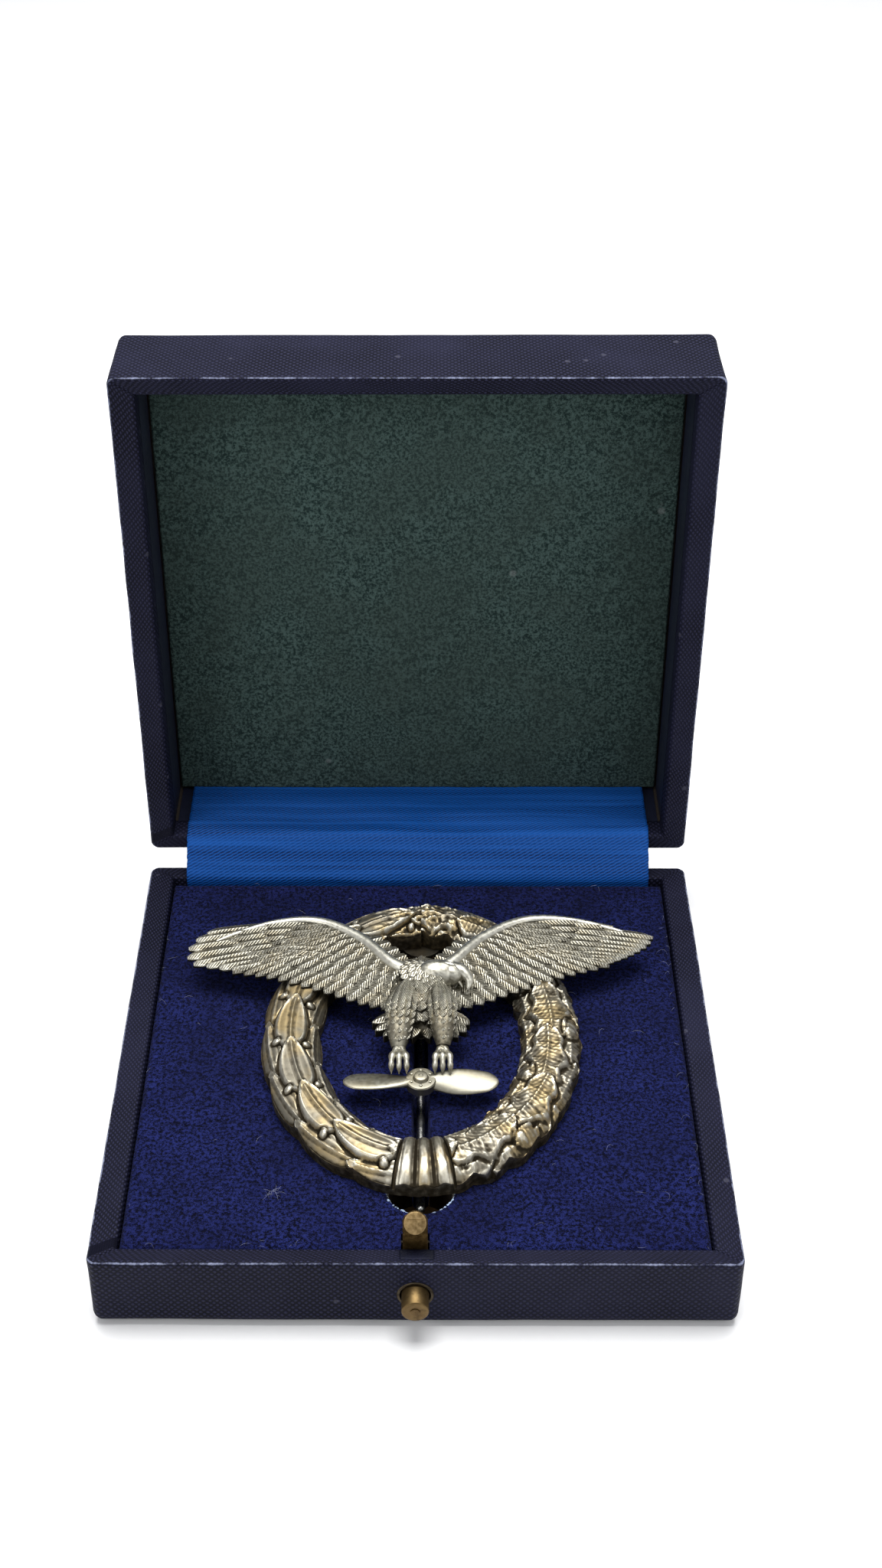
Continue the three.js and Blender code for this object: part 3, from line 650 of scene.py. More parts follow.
@dataclass(frozen=True)
class Leatherette(Finish):
    """Cross-grained leatherette, paler where it is worn."""

    worn: tuple[float, float, float] = (0.2, 0.22, 0.32)
    grain_scale: float = 520.0
    gloss: float = 0.06

    def dress(self, t: Tree, shader: bpy.types.Node) -> None:
        """Grain in the cover's own map; wear and dust in space."""
        at, laid = self.space(t), self.cloth_map(t)
        grain = self.effect(t, Effect.GRAIN, {"Vector": laid, "Scale": self.grain_scale}).outputs["Height"]
        wear = self.effect(t, Effect.WEAR, {"Vector": at, "Wear": self.kept(t, "wear")}).outputs["Mask"]
        dust = self.effect(t, Effect.SPECKS, {"Vector": at, "Scale": 420.0, "Share": 0.06}).outputs["Mask"]
        deep = tuple(c * 0.3 for c in self.colour)
        high = tuple(c * 1.9 + 0.001 for c in self.colour)
        lift = t.mix(t.ramp(grain, 0.2, 1.1), deep, high)
        patch = t.times(t.ramp(t.noise(at, 60.0, 4), 0.35, 0.75), 0.4)
        faded = t.mix(patch, lift, high)
        marked = t.mix(t.times(dust, 0.25), faded, (0.12, 0.12, 0.16))
        shader.inputs["Specular IOR Level"].default_value = self.gloss
        t.link(t.mix(wear, marked, self.worn), shader.inputs["Base Color"])
        dulled = t.plus(t.times(wear, 0.2), t.times(t.noise(at, 1500.0), 0.22))
        t.link(t.plus(dulled, self.rough - 0.1), shader.inputs["Roughness"])
        self.raise_by(t, shader, grain, 0.00012, 0.8)


@dataclass(frozen=True)
class Pile(Finish):
    """Velvet or suede cloth."""

    tip: tuple[float, float, float] = (0.02, 0.03, 0.2)
    stain: tuple[float, float, float] = (0.02, 0.02, 0.05)
    pile_scale: float = 1400.0
    sheen: float = 0.3
    depth: float = 0.0003
    patchiness: float = 0.45

    def dress(self, t: Tree, shader: bpy.types.Node) -> None:
        """Dark roots, lighter tips, brushed patches, lint specks and a sheen."""
        at = self.space(t)
        pile = self.effect(t, Effect.PILE, {"Vector": at, "Scale": self.pile_scale})
        specks = self.effect(
            t, Effect.SPECKS, {"Vector": at, "Scale": 300.0, "Share": 0.035}
        ).outputs["Mask"]
        cloth = t.mix(pile.outputs["Shade"], self.colour, self.tip)
        patched = t.mix(t.times(pile.outputs["Patch"], self.patchiness), cloth, self.stain)
        pale = tuple(0.3 + 0.4 * c for c in self.tip)
        t.link(t.mix(t.times(specks, 0.2), patched, pale), shader.inputs["Base Color"])
        shader.inputs["Sheen Weight"].default_value = self.sheen
        shader.inputs["Sheen Roughness"].default_value = 0.45
        shader.inputs["Sheen Tint"].default_value = (*[min(1.0, 0.25 + 2.2 * c) for c in self.tip], 1)
        shader.inputs["Specular IOR Level"].default_value = 0.05
        self.raise_by(t, shader, pile.outputs["Height"], self.depth, 1.0)


@dataclass(frozen=True)
class Satin(Finish):
    """Satin ribbon woven in twill."""

    shade: tuple[float, float, float] = (0.0008, 0.013, 0.075)

    def dress(self, t: Tree, shader: bpy.types.Node) -> None:
        """Twill floats that catch the light, soft streaks and a few pale specks."""
        laid = self.cloth_map(t)
        twill = self.effect(t, Effect.TWILL, {"Vector": laid, "Scale": 760.0})
        streak = t.noise(t.add("Mapping", {"Vector": laid, "Scale": (14.0, 700.0, 1.0)}).outputs[0], 1.0, 3)
        specks = self.effect(
            t, Effect.SPECKS, {"Vector": laid, "Scale": 210.0, "Share": 0.055}
        ).outputs["Mask"]
        woven = t.mix(twill.outputs["Float"], self.shade, self.colour)
        worn = t.mix(t.ramp(streak, 0.3, 0.8), woven, tuple(c * 1.25 + 0.003 for c in self.colour))
        t.link(t.mix(t.times(specks, 0.55), worn, (0.5, 0.55, 0.62)), shader.inputs["Base Color"])
        t.link(t.plus(t.times(streak, 0.25), self.rough - 0.1), shader.inputs["Roughness"])
        shader.inputs["Specular IOR Level"].default_value = 0.12
        shader.inputs["Anisotropic"].default_value = 0.4
        self.raise_by(t, shader, twill.outputs["Height"], 0.00008, 0.7)


@dataclass(frozen=True)
class Paper(Finish):
    """Paper, card or plain wood: a fibre pattern drawn out along one direction."""

    stretch: tuple[float, float, float] = (1.0, 1.0, 1.0)
    fibre_scale: float = 900.0
    contrast: float = 0.3

    def dress(self, t: Tree, shader: bpy.types.Node) -> None:
        """Fibres in colour, roughness and bump."""
        at = t.add("Mapping", {"Vector": self.space(t), "Scale": self.stretch}).outputs[0]
        fibre = t.noise(at, self.fibre_scale, 4)
        blot = t.noise(at, self.fibre_scale / 9, 2)
        dark = tuple(c * (1 - self.contrast) for c in self.colour)
        light = tuple(min(1.0, c * (1 + self.contrast)) for c in self.colour)
        both = t.times(t.plus(fibre, blot), 0.5)
        t.link(t.mix(t.ramp(both, 0.3, 0.7), dark, light), shader.inputs["Base Color"])
        t.link(t.plus(t.times(fibre, 0.2), self.rough - 0.1), shader.inputs["Roughness"])
        self.raise_by(t, shader, fibre, 0.00004, 0.5)


@dataclass(frozen=True)
class OldMetal(Finish):
    """Aged metal with dark recesses, rubbed ridges and a stain."""

    dark: tuple[float, float, float] = (0.035, 0.03, 0.022)
    bright: tuple[float, float, float] = (0.88, 0.86, 0.78)
    stain: tuple[float, float, float] = (0.45, 0.33, 0.14)
    stain_share: float = 0.25
    tarnish_scale: float = 330.0
    has_relief: bool = True
    scratch: float = 0.00002
    barbs: float = 0.0

    def dress(self, t: Tree, shader: bpy.types.Node) -> None:
        """Tarnish by the relief kept at the points, with pits and scratches in the bump."""
        at = self.space(t)
        relief = self.kept(t, "relief") if self.has_relief else t.sum("SUBTRACT", t.noise(at, 700.0, 4), 0.4)
        barb = self.effect(t, Effect.BARBS, {"Vector": self.cloth_map(t), "Scale": 1.0}).outputs["Line"]
        relief = t.plus(relief, t.times(barb, self.barbs)) if self.barbs else relief
        aged = self.effect(t, Effect.TARNISH, {"Vector": at, "Relief": relief, "Scale": self.tarnish_scale})
        stained = t.mix(t.times(aged.outputs["Stain"], self.stain_share), self.colour, self.stain)
        grimed = t.mix(aged.outputs["Dark"], stained, self.dark)
        t.link(t.mix(aged.outputs["Bright"], grimed, self.bright), shader.inputs["Base Color"])
        dull = t.plus(t.times(aged.outputs["Dark"], 0.3), t.times(aged.outputs["Fine"], 0.25))
        t.link(t.plus(dull, self.rough - 0.12), shader.inputs["Roughness"])
        shader.inputs["Metallic"].default_value = 1.0
        pits = t.plus(aged.outputs["Fine"], t.times(t.noise(at, 9000.0, 2), 0.4))
        pits = t.plus(pits, barb) if self.barbs else pits
        self.raise_by(t, shader, pits, self.scratch, 0.6)


LEATHERETTE = Leatherette("navy_leatherette", "leatherette", (0.0105, 0.011, 0.0245), 0.55)
PLAIN_LEATHERETTE = Leatherette(
    "rubbed_leatherette", "leatherette", (0.008, 0.009, 0.02), 0.45, grain_scale=40.0
)
VELVET = Pile(
    "navy_velvet_pile", "navy_velvet", (0.0003, 0.0005, 0.004), 0.95, (0.0125, 0.0185, 0.105),
    (0.002, 0.0026, 0.015),
    pile_scale=2300.0, sheen=0.09,
)
SUEDE = Pile(
    "green_suede", "green_pile", (0.01, 0.02, 0.019), 0.95, (0.066, 0.106, 0.096), (0.032, 0.047, 0.041),
    pile_scale=2600.0, sheen=0.06, depth=0.00008, patchiness=0.4,
)
SATIN = Satin("royal_blue_satin", "blue_satin", (0.005, 0.07, 0.3), 0.5)
DARK_PAPER = Paper("dark_navy_paper", "navy_paper", (0.004, 0.006, 0.02), 0.5)
CARD = Paper("pale_card", "card", (0.55, 0.53, 0.47), 0.9, contrast=0.2)
WOOD = Paper("bare_softwood", "bare_wood", (0.43, 0.26, 0.11), 0.75, (0.08, 1.0, 1.0), 1400.0)
BRASS = OldMetal(
    "aged_brass", "brass", (0.135, 0.09, 0.038), 0.46, (0.03, 0.018, 0.008), (0.26, 0.19, 0.09),
    (0.085, 0.05, 0.02),
    stain_share=0.6, has_relief=False,
)
STEEL = OldMetal(
    "drawn_steel", "spring_steel", (0.5, 0.5, 0.48), 0.25, (0.06, 0.055, 0.05), (0.75, 0.74, 0.7),
    stain_share=0.05, has_relief=False,
)
BIRD_SILVER = OldMetal(
    "bird_silver", "aged_silver", (0.27, 0.255, 0.205), 0.42, (0.028, 0.025, 0.018), (0.7, 0.68, 0.59),
    (0.3, 0.25, 0.16), stain_share=0.45, barbs=0.4,
)
POLISHED_SILVER = OldMetal(
    "polished_silver", "aged_silver", (0.26, 0.245, 0.195), 0.45, (0.08, 0.068, 0.045), (0.36, 0.345, 0.285),
    (0.34, 0.29, 0.18), stain_share=0.35, scratch=0.00001,
)
WREATH_SILVER = OldMetal(
    "patinated_silver", "wreath_silver", (0.27, 0.245, 0.19), 0.44, (0.045, 0.036, 0.023),
    (0.56, 0.53, 0.44),
    (0.42, 0.305, 0.13), stain_share=0.65, tarnish_scale=210.0,
)
# Painted light: brass for the catch; its relief paints a highlight on the head's face and shade on the bar.
CATCH_BRASS = OldMetal(
    "rubbed_brass", "brass", (0.2, 0.13, 0.05), 0.48, (0.045, 0.027, 0.009), (0.46, 0.33, 0.165),
    (0.13, 0.08, 0.03),
    stain_share=0.6,
)
# Brass darker all over, worn by the button's bush inside the hole round the button.
DARK_BRASS = OldMetal(
    "darkened_brass", "brass", (0.07, 0.055, 0.035), 0.45, (0.012, 0.009, 0.006), (0.2, 0.18, 0.14),
    (0.05, 0.035, 0.018), stain_share=0.5, has_relief=False,
)
BACK_SILVER = OldMetal(
    "plain_back_silver", "wreath_silver", (0.24, 0.22, 0.17), 0.45, (0.03, 0.025, 0.018), (0.45, 0.43, 0.36),
    (0.3, 0.23, 0.12), stain_share=0.5, has_relief=False,
)
# Painted shade: silver darkened for the hinge plate, seen in shade through the gap above the head.
SHADE_DARK_SILVER = OldMetal(
    "shade_darkened_back_silver", "wreath_silver", (0.05, 0.045, 0.035), 0.55, (0.012, 0.01, 0.008),
    (0.14, 0.13, 0.1),
    (0.06, 0.045, 0.025), stain_share=0.5, has_relief=False,
)
# Painted shade: wood darkened to near black for the pad block in the catch's pit and the lid's bare wood,
# which lie in shade.
SHADE_DARK_WOOD = Paper("shaded_softwood", "bare_wood", (0.018, 0.012, 0.008), 0.9, (0.08, 1.0, 1.0), 1400.0)
LINT = Paper("pale_lint", "card", (0.3, 0.32, 0.45), 0.9, contrast=0.3)
FRINGE = Paper("torn_backing", "card", (0.24, 0.31, 0.43), 0.95, fibre_scale=2600.0, contrast=0.55)


# ---------------------------------------------------------------- case


@dataclass
class Tray:
    """A leatherette-covered tray: the base, or the lid once it is turned upright.

    Sizes are in millimetres. The tray is worked out with its floor at z = 0 and its rim up.
    """

    name: str
    body: str
    width: float
    depth: float
    height: float
    nodes: tuple[str, ...]
    side_wall: float = 3.4
    end_wall: float = 2.5
    rim_radius: float = 0.45
    floor_radius: float = 1.6
    corner_radius: float = 1.15
    turn_in: float = 3.5
    skin: float = 0.34
    unevenness: float = 0.045
    mitre_depth: float = 0.1
    sides: int = 46
    corner_steps: int = 8

    def loop(self) -> tuple[Array, Array, Array, Array, Array]:
        """Columns of a rounded rectangle.

        A column is a share of the straight half sizes plus a share of the corner radius.

        Returns:
            x share, y share, x of the corner's turn, y of the corner's turn, mitre closeness.
        """
        columns = []
        for quarter in range(4):
            start = -135 + 90 * quarter - 45
            turn = np.radians(np.linspace(start, start + 90, self.corner_steps + 1))
            sx, sy = np.sign(math.cos(turn[4])), np.sign(math.sin(turn[4]))
            mitre = np.zeros(len(turn))
            mitre[self.corner_steps // 2] = 1
            columns.append(
                np.stack([np.full(len(turn), sx), np.full(len(turn), sy), np.cos(turn), np.sin(turn), mitre])
            )
            share = np.linspace(0, 1, self.sides + 1)[1:-1]
            nx, ny = np.sign(math.cos(turn[4] + math.pi / 2)), np.sign(math.sin(turn[4] + math.pi / 2))
            straight = np.stack([sx + (nx - sx) * share, sy + (ny - sy) * share])
            edge = np.stack([np.full(len(share), np.cos(turn[-1])), np.full(len(share), np.sin(turn[-1]))])
            columns.append(np.concatenate([straight, edge, np.zeros((1, len(share)))]))
        return tuple(np.concatenate(columns, 1))

    def profile(self) -> Array:
        """Section of the cover from the turned-in hem, over the rim, down the wall to mid floor.

        Returns:
            Rows of (wall share, inset, z, floor share, wear). An inset is the wall share times the
            wall plus the inset; the floor share draws the row in towards the middle.
        """
        r, big = self.rim_radius, self.floor_radius
        rows = [(1, 0, z, 0, 0) for z in np.linspace(self.height - self.turn_in, self.height - r, 6)[:-1]]
        arc = np.linspace(0, np.pi / 2, 6)
        rows += [
            (
                1, -r + r * math.cos(a), self.height - r + r * math.sin(a), 0, 0.25 * math.sin(2 * a)
            ) for a in arc
        ]
        rows += [(1 - s, -r + 2 * r * s, self.height, 0, 0.22) for s in np.linspace(0, 1, 9)[1:-1]]
        rows += [
            (
                0,
                r - r * math.sin(a),
                self.height - r + r * math.cos(a),
                0,
                0.3 + 0.68 * math.sin(2 * a) ** 2,
            ) for a in arc
        ]
        rows += [
            (0, 0, z, 0, max(0, 0.3 - abs(z - self.height + r))) for z in np.linspace(
                self.height - r, big, 16
            )[1:-1]
        ]
        rows += [
            (0, big - big * math.cos(a), big - big * math.sin(a), 0, 0.42 * math.sin(2 * a)) for a in arc
        ]
        rows += [(0, big, 0, s, 0) for s in np.linspace(0, 0.985, 14)[1:]]
        return np.array(rows, float)

    def points(self) -> tuple[Array, dict[str, Array]]:
        """The cover's grid.

        Formula: a row's half sizes are the outer half sizes less its inset; a column is its share
        of those half sizes less the corner radius, plus the radius along its turn.

        Returns:
            Grid of points, and the values kept at them.
        """
        sx, sy, cx, cy, mitre = self.loop()
        share, inset, z, floor, wear = self.profile().T[:, :, None]
        draw = 1 - floor
        half_x = (self.width / 2 - share * self.side_wall - inset) * draw
        half_y = (self.depth / 2 - share * self.end_wall - inset) * draw
        radius = np.maximum(self.corner_radius * (1 - share) - inset, 0.12) * draw
        x = sx * (half_x - radius) + radius * cx
        y = sy * (half_y - radius) + radius * cy
        on_rim = (np.abs(z - self.height) < 0.25).astype(float)
        deep = z - on_rim * mitre * self.mitre_depth
        grid = np.stack(np.broadcast_arrays(x, y, deep), -1)
        swell = self.unevenness * ripple(grid, 24.0, len(self.name))
        outside = ((share == 0) & (floor == 0)) * np.ones_like(x)
        grid[..., 0] += swell * cx * outside
        grid[..., 1] += swell * cy * outside
        grid[..., 2] += swell * (floor > 0) * 0.5
        run = np.cumsum(np.linalg.norm(np.diff(grid[20], axis=0, prepend=grid[20][:1]), axis=1))
        down = np.concatenate(
            [[0], np.cumsum(np.hypot(np.diff(z[:, 0]), np.diff((inset - share * 3)[:, 0])))]
        )
        flat = (floor > 0) & np.ones_like(x, bool)
        corner = bump_of(np.abs(np.abs(cx) - np.abs(cy)), 0.5) * (np.abs(cx) * np.abs(cy) > 0.05)
        kept = {
            "u": np.where(flat, x, run[None, :] + 0 * x) * MM,
            "v": np.where(flat, y, down[:, None] + 0 * x) * MM,
            "wear": np.clip(wear + 0.34 * corner * outside, 0, 1),
        }
        return grid, kept

    def stand(self, grid: Array) -> Array:
        """Carries tray points to their place; the base stays as it is drawn."""
        return grid

    def build(self) -> bpy.types.Object:
        """Builds the cover and gives it its thickness, inwards."""
        grid, kept = self.points()
        shape = Shape(self.name)
        shape.add(self.stand(grid), wrap=(False, True), caps=(False, True), **kept)
        cover = shape.build(LEATHERETTE, self.body, self.nodes)
        wall = cover.modifiers.new("thickness", "SOLIDIFY")
        wall.thickness, wall.offset = self.skin * MM, -1
        return cover


@dataclass
class Lid(Tray):
    """The lid: a tray turned upright behind the base."""

    rim_y: float = 0.0
    middle_z: float = 0.0

    def stand(self, grid: Array) -> Array:
        """A quarter turn about X: y becomes rim_y + height - z and z becomes middle_z + y."""
        x, y, z = np.moveaxis(grid, -1, 0)
        return np.stack([x, self.rim_y + self.height - z, self.middle_z + y], -1)


@dataclass
class CaseFurniture:
    """Velvet pad, lining, cloth hinge and latch of the case."""

    pad_roll: float = 0.9
    lining_roll: float = 0.35
    ribbon_rows: int = 110
    ribbon_columns: int = 180

    def slab(
        self, low: Array, high: Array, roll: float, steps: int, wave: float, seed: int, facing: int
    ) -> tuple[Array, dict[str, Array]]:
        """A thin slab with one soft, rolled face, as a closed grid of nested rings.

        Formula: rings go from the middle of the back to its edge, up the side, over a quarter
        circle of the roll's radius and in to the middle of the face, where a ripple is added.

        Args:
            low: lowest corner, in millimetres.
            high: highest corner.
            roll: radius of the rolled edge.
            steps: rings on the face.
            wave: height of the ripple.
            seed: seed of the ripple.
            facing: axis of the soft face's normal: 2 for up, 1 for towards the front.

        Returns:
            Grid of points, and the values kept at them.
        """
        other = 1 if facing == 2 else 2
        tall = high[facing] - low[facing]
        arc = np.linspace(0, np.pi / 2, 7)
        inner = np.linspace(0, 1, steps)[1:]
        scale = np.concatenate([[0.02, 0.5, 1, 1], np.ones(7), 1 - inner * 0.985])
        inset = np.concatenate([[0, 0, roll * 0.4, 0], roll - roll * np.cos(arc), np.full(len(inner), roll)])
        level = np.concatenate(
            [[0, 0, 0, 0.2], (tall - roll + roll * np.sin(arc)), np.full(len(inner), tall)]
        )
        side = np.linspace(-1, 1, 72, endpoint=False)
        sx = np.concatenate([side, np.ones(72), -side, -np.ones(72)])
        sy = np.concatenate([-np.ones(72), side, np.ones(72), -side])
        half = (high - low) / 2
        middle = (high + low) / 2
        x = middle[0] + sx * ((half[0] - inset) * scale)[:, None]
        w = middle[other] + sy * ((half[other] - inset) * scale)[:, None]
        rise = level[:, None] + 0 * x
        place_at = np.stack([x, w, 0 * x], -1)
        on_face = np.clip((rise - (tall - roll)) / roll, 0, 1)
        rise = rise + wave * on_face * ripple(place_at, 17.0, seed)
        rise = rise + 0.05 * on_face * ripple(place_at, 1.3, seed + 1, 2)
        if facing == 2:
            return np.stack([x, w, low[2] + rise], -1), {"u": x * MM, "v": w * MM}
        return np.stack([x, high[1] - rise, w], -1), {"u": x * MM, "v": w * MM}

    def velvet(self) -> bpy.types.Object:
        """The velvet pad, cut out for the needle's pocket and the catch."""
        low, high = box_mm("velvet_pad")
        low, high = low + (-0.2, -0.2, 0), high + (0.2, 0.2, 0)
        grid, kept = self.slab(low, high, self.pad_roll, 110, 0.1, 11, 2)
        shape = Shape("velvet_cushion")
        shape.add_closed(grid, **kept)
        pad = shape.build(VELVET, "base", ("velvet_pad",))
        x = sum(box_mm("needle")[k][0] for k in (0, 1)) / 2
        foot = box_mm("wreath")[0][1]
        hinge_low, hinge_high = box_mm("hinge_plate")
        hinge_y = (hinge_low[1] + hinge_high[1]) / 2
        radius, shown = 4.4, 2.75
        round_cut = self.cutter(
            turned([(-4, 0.01), (-4, radius), (4, radius), (4, 0.01)], 64)[..., [0, 2, 1]]
        )
        round_cut.data.transform(Matrix.Translation(Vector((x, foot - shown + radius, high[2])) * MM))
        tongue_low, tongue_high = box_mm("catch_tongue")
        notch = self.block((-1.72, low[1] - 1, low[2] - 2), (1.72, tongue_high[1] + 1.6, high[2] + 2))
        slot = self.block((x - 1.2, foot, low[2] - 2), (x + 1.2, hinge_y, high[2] + 2))
        room = self.block((x - 4.6, hinge_y - 4.4, low[2] - 2), (x + 4.6, hinge_y + 4.4, high[2] + 2))
        settle(pad, round_cut, notch, slot, room)
        self.channel(x, foot + 1.6, hinge_y - 4.5, high[2])
        self.fringe((x, foot - shown + radius), radius, high[2])
        return pad

    def fringe(self, middle: tuple[float, float], radius: float, top: float) -> None:
        """The pale torn edge of the velvet's backing round the front of the catch's pit.

        Formula: a tube along the circle's front arc, whose thickness is a seeded ripple that is
        cut off below zero, so it breaks up.

        Args:
            middle: middle of the round cut.
            radius: radius of the cut.
            top: height of the pad's face.
        """
        turn = np.radians(np.linspace(-168, -12, 220))
        line = np.stack([middle[0] + radius * np.cos(turn), middle[1] + radius * np.sin(turn), 0 * turn], 1)
        ragged = ripple(line, 1.1, 61, 3)
        line[:, 2] = top - 0.04 + 0.05 * ragged
        line[:, :2] += 0.06 * ripple(line, 0.7, 62, 2)[:, None]
        sides = np.clip(np.abs(np.cos(turn)) * 1.6, 0.5, 1)
        thick = 0.02 + 0.15 * sides * np.clip(0.25 + 0.9 * ragged, 0, 1)
        shape = Shape("velvet_backing_edge")
        shape.add_closed(swept(line, thick, thick * 0.7, 10))
        shape.build(FRINGE, "base")

    def channel(self, x: float, front: float, back: float, top: float) -> None:
        """Velvet pressed down into the needle's channel.

        Formula: a U-shaped section with rolled lips, drawn along the channel, with a ripple.

        Args:
            x: the channel's middle.
            front: y of its front end.
            back: y of its back end.
            top: height of the pad's face.
        """
        side = [
            (1.75, -0.25), (1.5, -0.02), (1.25, -0.1), (1.06, -0.5), (0.96, -1.3), (0.9, -2.4), (0.86, -3.2)
        ]
        half = np.array(side + [(0.6, -3.6)])
        section = np.concatenate([half * (-1, 1), [[0.0, -3.65]], half[::-1]])
        y = np.linspace(front, back, 60)
        grid = np.stack(
            np.broadcast_arrays(x + section[None, :, 0], y[:, None], top + section[None, :, 1]), -1
        )
        grid[..., 2] += 0.04 * ripple(grid, 1.6, 77, 2)
        shape = Shape("velvet_channel")
        shape.add(grid, u=grid[..., 0] * MM, v=grid[..., 1] * MM)
        piece = shape.build(VELVET, "base")
        wall = piece.modifiers.new("thickness", "SOLIDIFY")
        wall.thickness, wall.offset = 0.12 * MM, -1

    @staticmethod
    def cutter(grid: Array) -> bpy.types.Object:
        """A closed cutting tool from a grid of rings."""
        shape = Shape("cutter")
        shape.add_closed(grid)
        tool = bpy.data.objects.new("cutter", shape.mesh())
        bpy.context.scene.collection.objects.link(tool)
        return tool

    @staticmethod
    def plate(low: tuple[float, ...], high: tuple[float, ...]) -> Shape:
        """A flat paper strip between two corners, as nested rings."""
        (x0, y0, z0), (x1, y1, z1) = low, high
        ring = np.array([(x0, y0), (x1, y0), (x1, y1), (x0, y1)], float)
        middle = ring.mean(0)
        rows = [np.concatenate([ring, np.full((4, 1), z)], 1) for z in (z0, z1)]
        inner = np.concatenate([middle + (ring - middle) * 0.98, np.full((4, 1), z1)], 1)
        shape = Shape("lid_back_strip")
        shape.add_closed(np.stack([*rows, inner]))
        return shape

    def block(self, low: tuple[float, ...], high: tuple[float, ...]) -> bpy.types.Object:
        """A box-shaped cutting tool between two corners."""
        (x0, y0, z0), (x1, y1, z1) = low, high
        ring = np.array([(x0, y0), (x1, y0), (x1, y1), (x0, y1)], float)
        rows = [np.concatenate([ring, np.full((4, 1), z)], 1) for z in (z0, z1)]
        return self.cutter(np.stack(rows))

    def lining(self) -> bpy.types.Object:
        """The pile lining glued inside the lid, slightly uneven, with two small dents."""
        low, high = box_mm("lid_lining")
        grid, kept = self.slab(
            low - (0.15, 0.35, 0.1), high + (0.15, 0, 0.15), self.lining_roll, 70, 0.12, 23, 1
        )
        dents = ((3.0, 52.0, 2.2), (2.0, 29.0, 1.6))
        for x, z, size in dents:
            away = np.hypot(grid[..., 0] - x, grid[..., 2] - z)
            grid[..., 1] += 0.14 * bump_of(away, size)
        shape = Shape("suede_lining")
        shape.add_closed(grid, **kept)
        lining = shape.build(SUEDE, "lid", ("lid_lining",))
        size = (high - low) * MM
        return lining

    def strip(
        self,
        name: str,
        node: str,
        line: list[tuple[float, float]],
        half_width: float,
        finish: Finish,
        thickness: float,
        wave: float,
    ) -> bpy.types.Object:
        """A cloth strip whose middle line is drawn in (y, z) and that crosses the hinge.

        Formula: points are the line's points at each x, moved along the line's normal by a
        ripple that fades at the glued ends.

        Args:
            name: name of the piece.
            node: frame node it stands for.
            line: points of the middle line.
            half_width: half its width.
            finish: its finish.
            thickness: its thickness.
            wave: height of its ripple.

        Returns:
            The strip, laid over the hinge.
        """
        path = smooth_line(line, self.ribbon_rows)
        along = np.gradient(path, axis=0)
        along /= np.linalg.norm(along, axis=1, keepdims=True)
        x = np.linspace(-half_width, half_width, self.ribbon_columns)
        run = np.concatenate([[0], np.cumsum(np.linalg.norm(np.diff(path, axis=0), axis=1))])
        flat = np.stack(np.broadcast_arrays(x[None, :], run[:, None], 0.0), -1)
        free = np.sin(np.pi * np.clip(run / run[-1], 0, 1)) ** 0.7
        lift = wave * ripple(flat * (0.45, 1, 1), 16.0, 5) * free[:, None]
        frayed = 0.05 * ripple(flat, 2.0, 8, 2)
        edge = np.abs(x)[None, :] > half_width - 0.2
        grid = np.stack(
            [
                x[None, :] + frayed * edge,
                path[:, :1] - along[:, 1:] * lift,
                path[:, 1:] + along[:, :1] * lift,
            ], -1
        )
        rim = np.clip(1 - (half_width - np.abs(x)) / 0.8, 0, 1)[None, :] + 0 * lift
        shape = Shape(name)
        shape.add(grid, u=flat[..., 0] * MM, v=flat[..., 1] * MM, wear=0.4 * rim)
        piece = shape.build(finish, "", (node,))
        wall = piece.modifiers.new("thickness", "SOLIDIFY")
        wall.thickness, wall.offset = thickness * MM, 0
        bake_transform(piece)
        return piece

    def cloth_hinge(self) -> None:
        """The satin ribbon inside, the leatherette strip outside and the lid's dark back strip."""
        wall_low, wall_high = box_mm("lid_back_wall")
        inner_low, inner_high = box_mm("lid_lining")
        paper = self.plate(
            (inner_low[0], wall_low[1] + 0.25, wall_high[2] - 0.02), (
                inner_high[0], inner_low[1] + 0.3, wall_high[2] + 0.09
            )
        )
        paper.build(DARK_PAPER, "lid")
        low, high = box_mm("satin_ribbon")
        base_low, base_high = box_mm("base_covering")
        lid_low, _ = box_mm("lid_covering")
        lining = box_mm("lid_lining")[0][1]
        inner_y, floor_z = low[1] + 0.1, high[2] - 0.1
        ribbon = [
            (inner_y, low[2]),
            (inner_y, base_high[2] - 1.5),
            (inner_y + 0.05, base_high[2] + 0.1),
            (inner_y + 1.6, base_high[2] + 2.1),
            (lid_low[1] - 0.35, floor_z - 0.55),
            (lid_low[1] + 0.9, floor_z + 0.02),
            (lid_low[1] + 4.0, floor_z),
            (lining - 0.1, floor_z),
        ]
        half = (high[0] - low[0]) / 2
        self.strip("satin_hinge_ribbon", "satin_ribbon", ribbon, half, SATIN, 0.18, 0.16)
        low, high = box_mm("hinge_strip")
        back, foot = base_high[1], lid_low[2]
        strip = [
            (back + 0.2, low[2]),
            (back + 0.2, base_high[2] - 1.2),
            (back + 0.25, base_high[2] + 0.1),
            (back + 0.7, base_high[2] + 1.25),
            (lid_low[1] + 0.1, foot - 0.3),
            (lid_low[1] + 1.5, foot - 0.2),
            (high[1], foot - 0.2),
        ]
        half = (high[0] - low[0]) / 2
        self.strip("outer_hinge_strip", "hinge_strip", strip, half, LEATHERETTE, 0.3, 0.05)

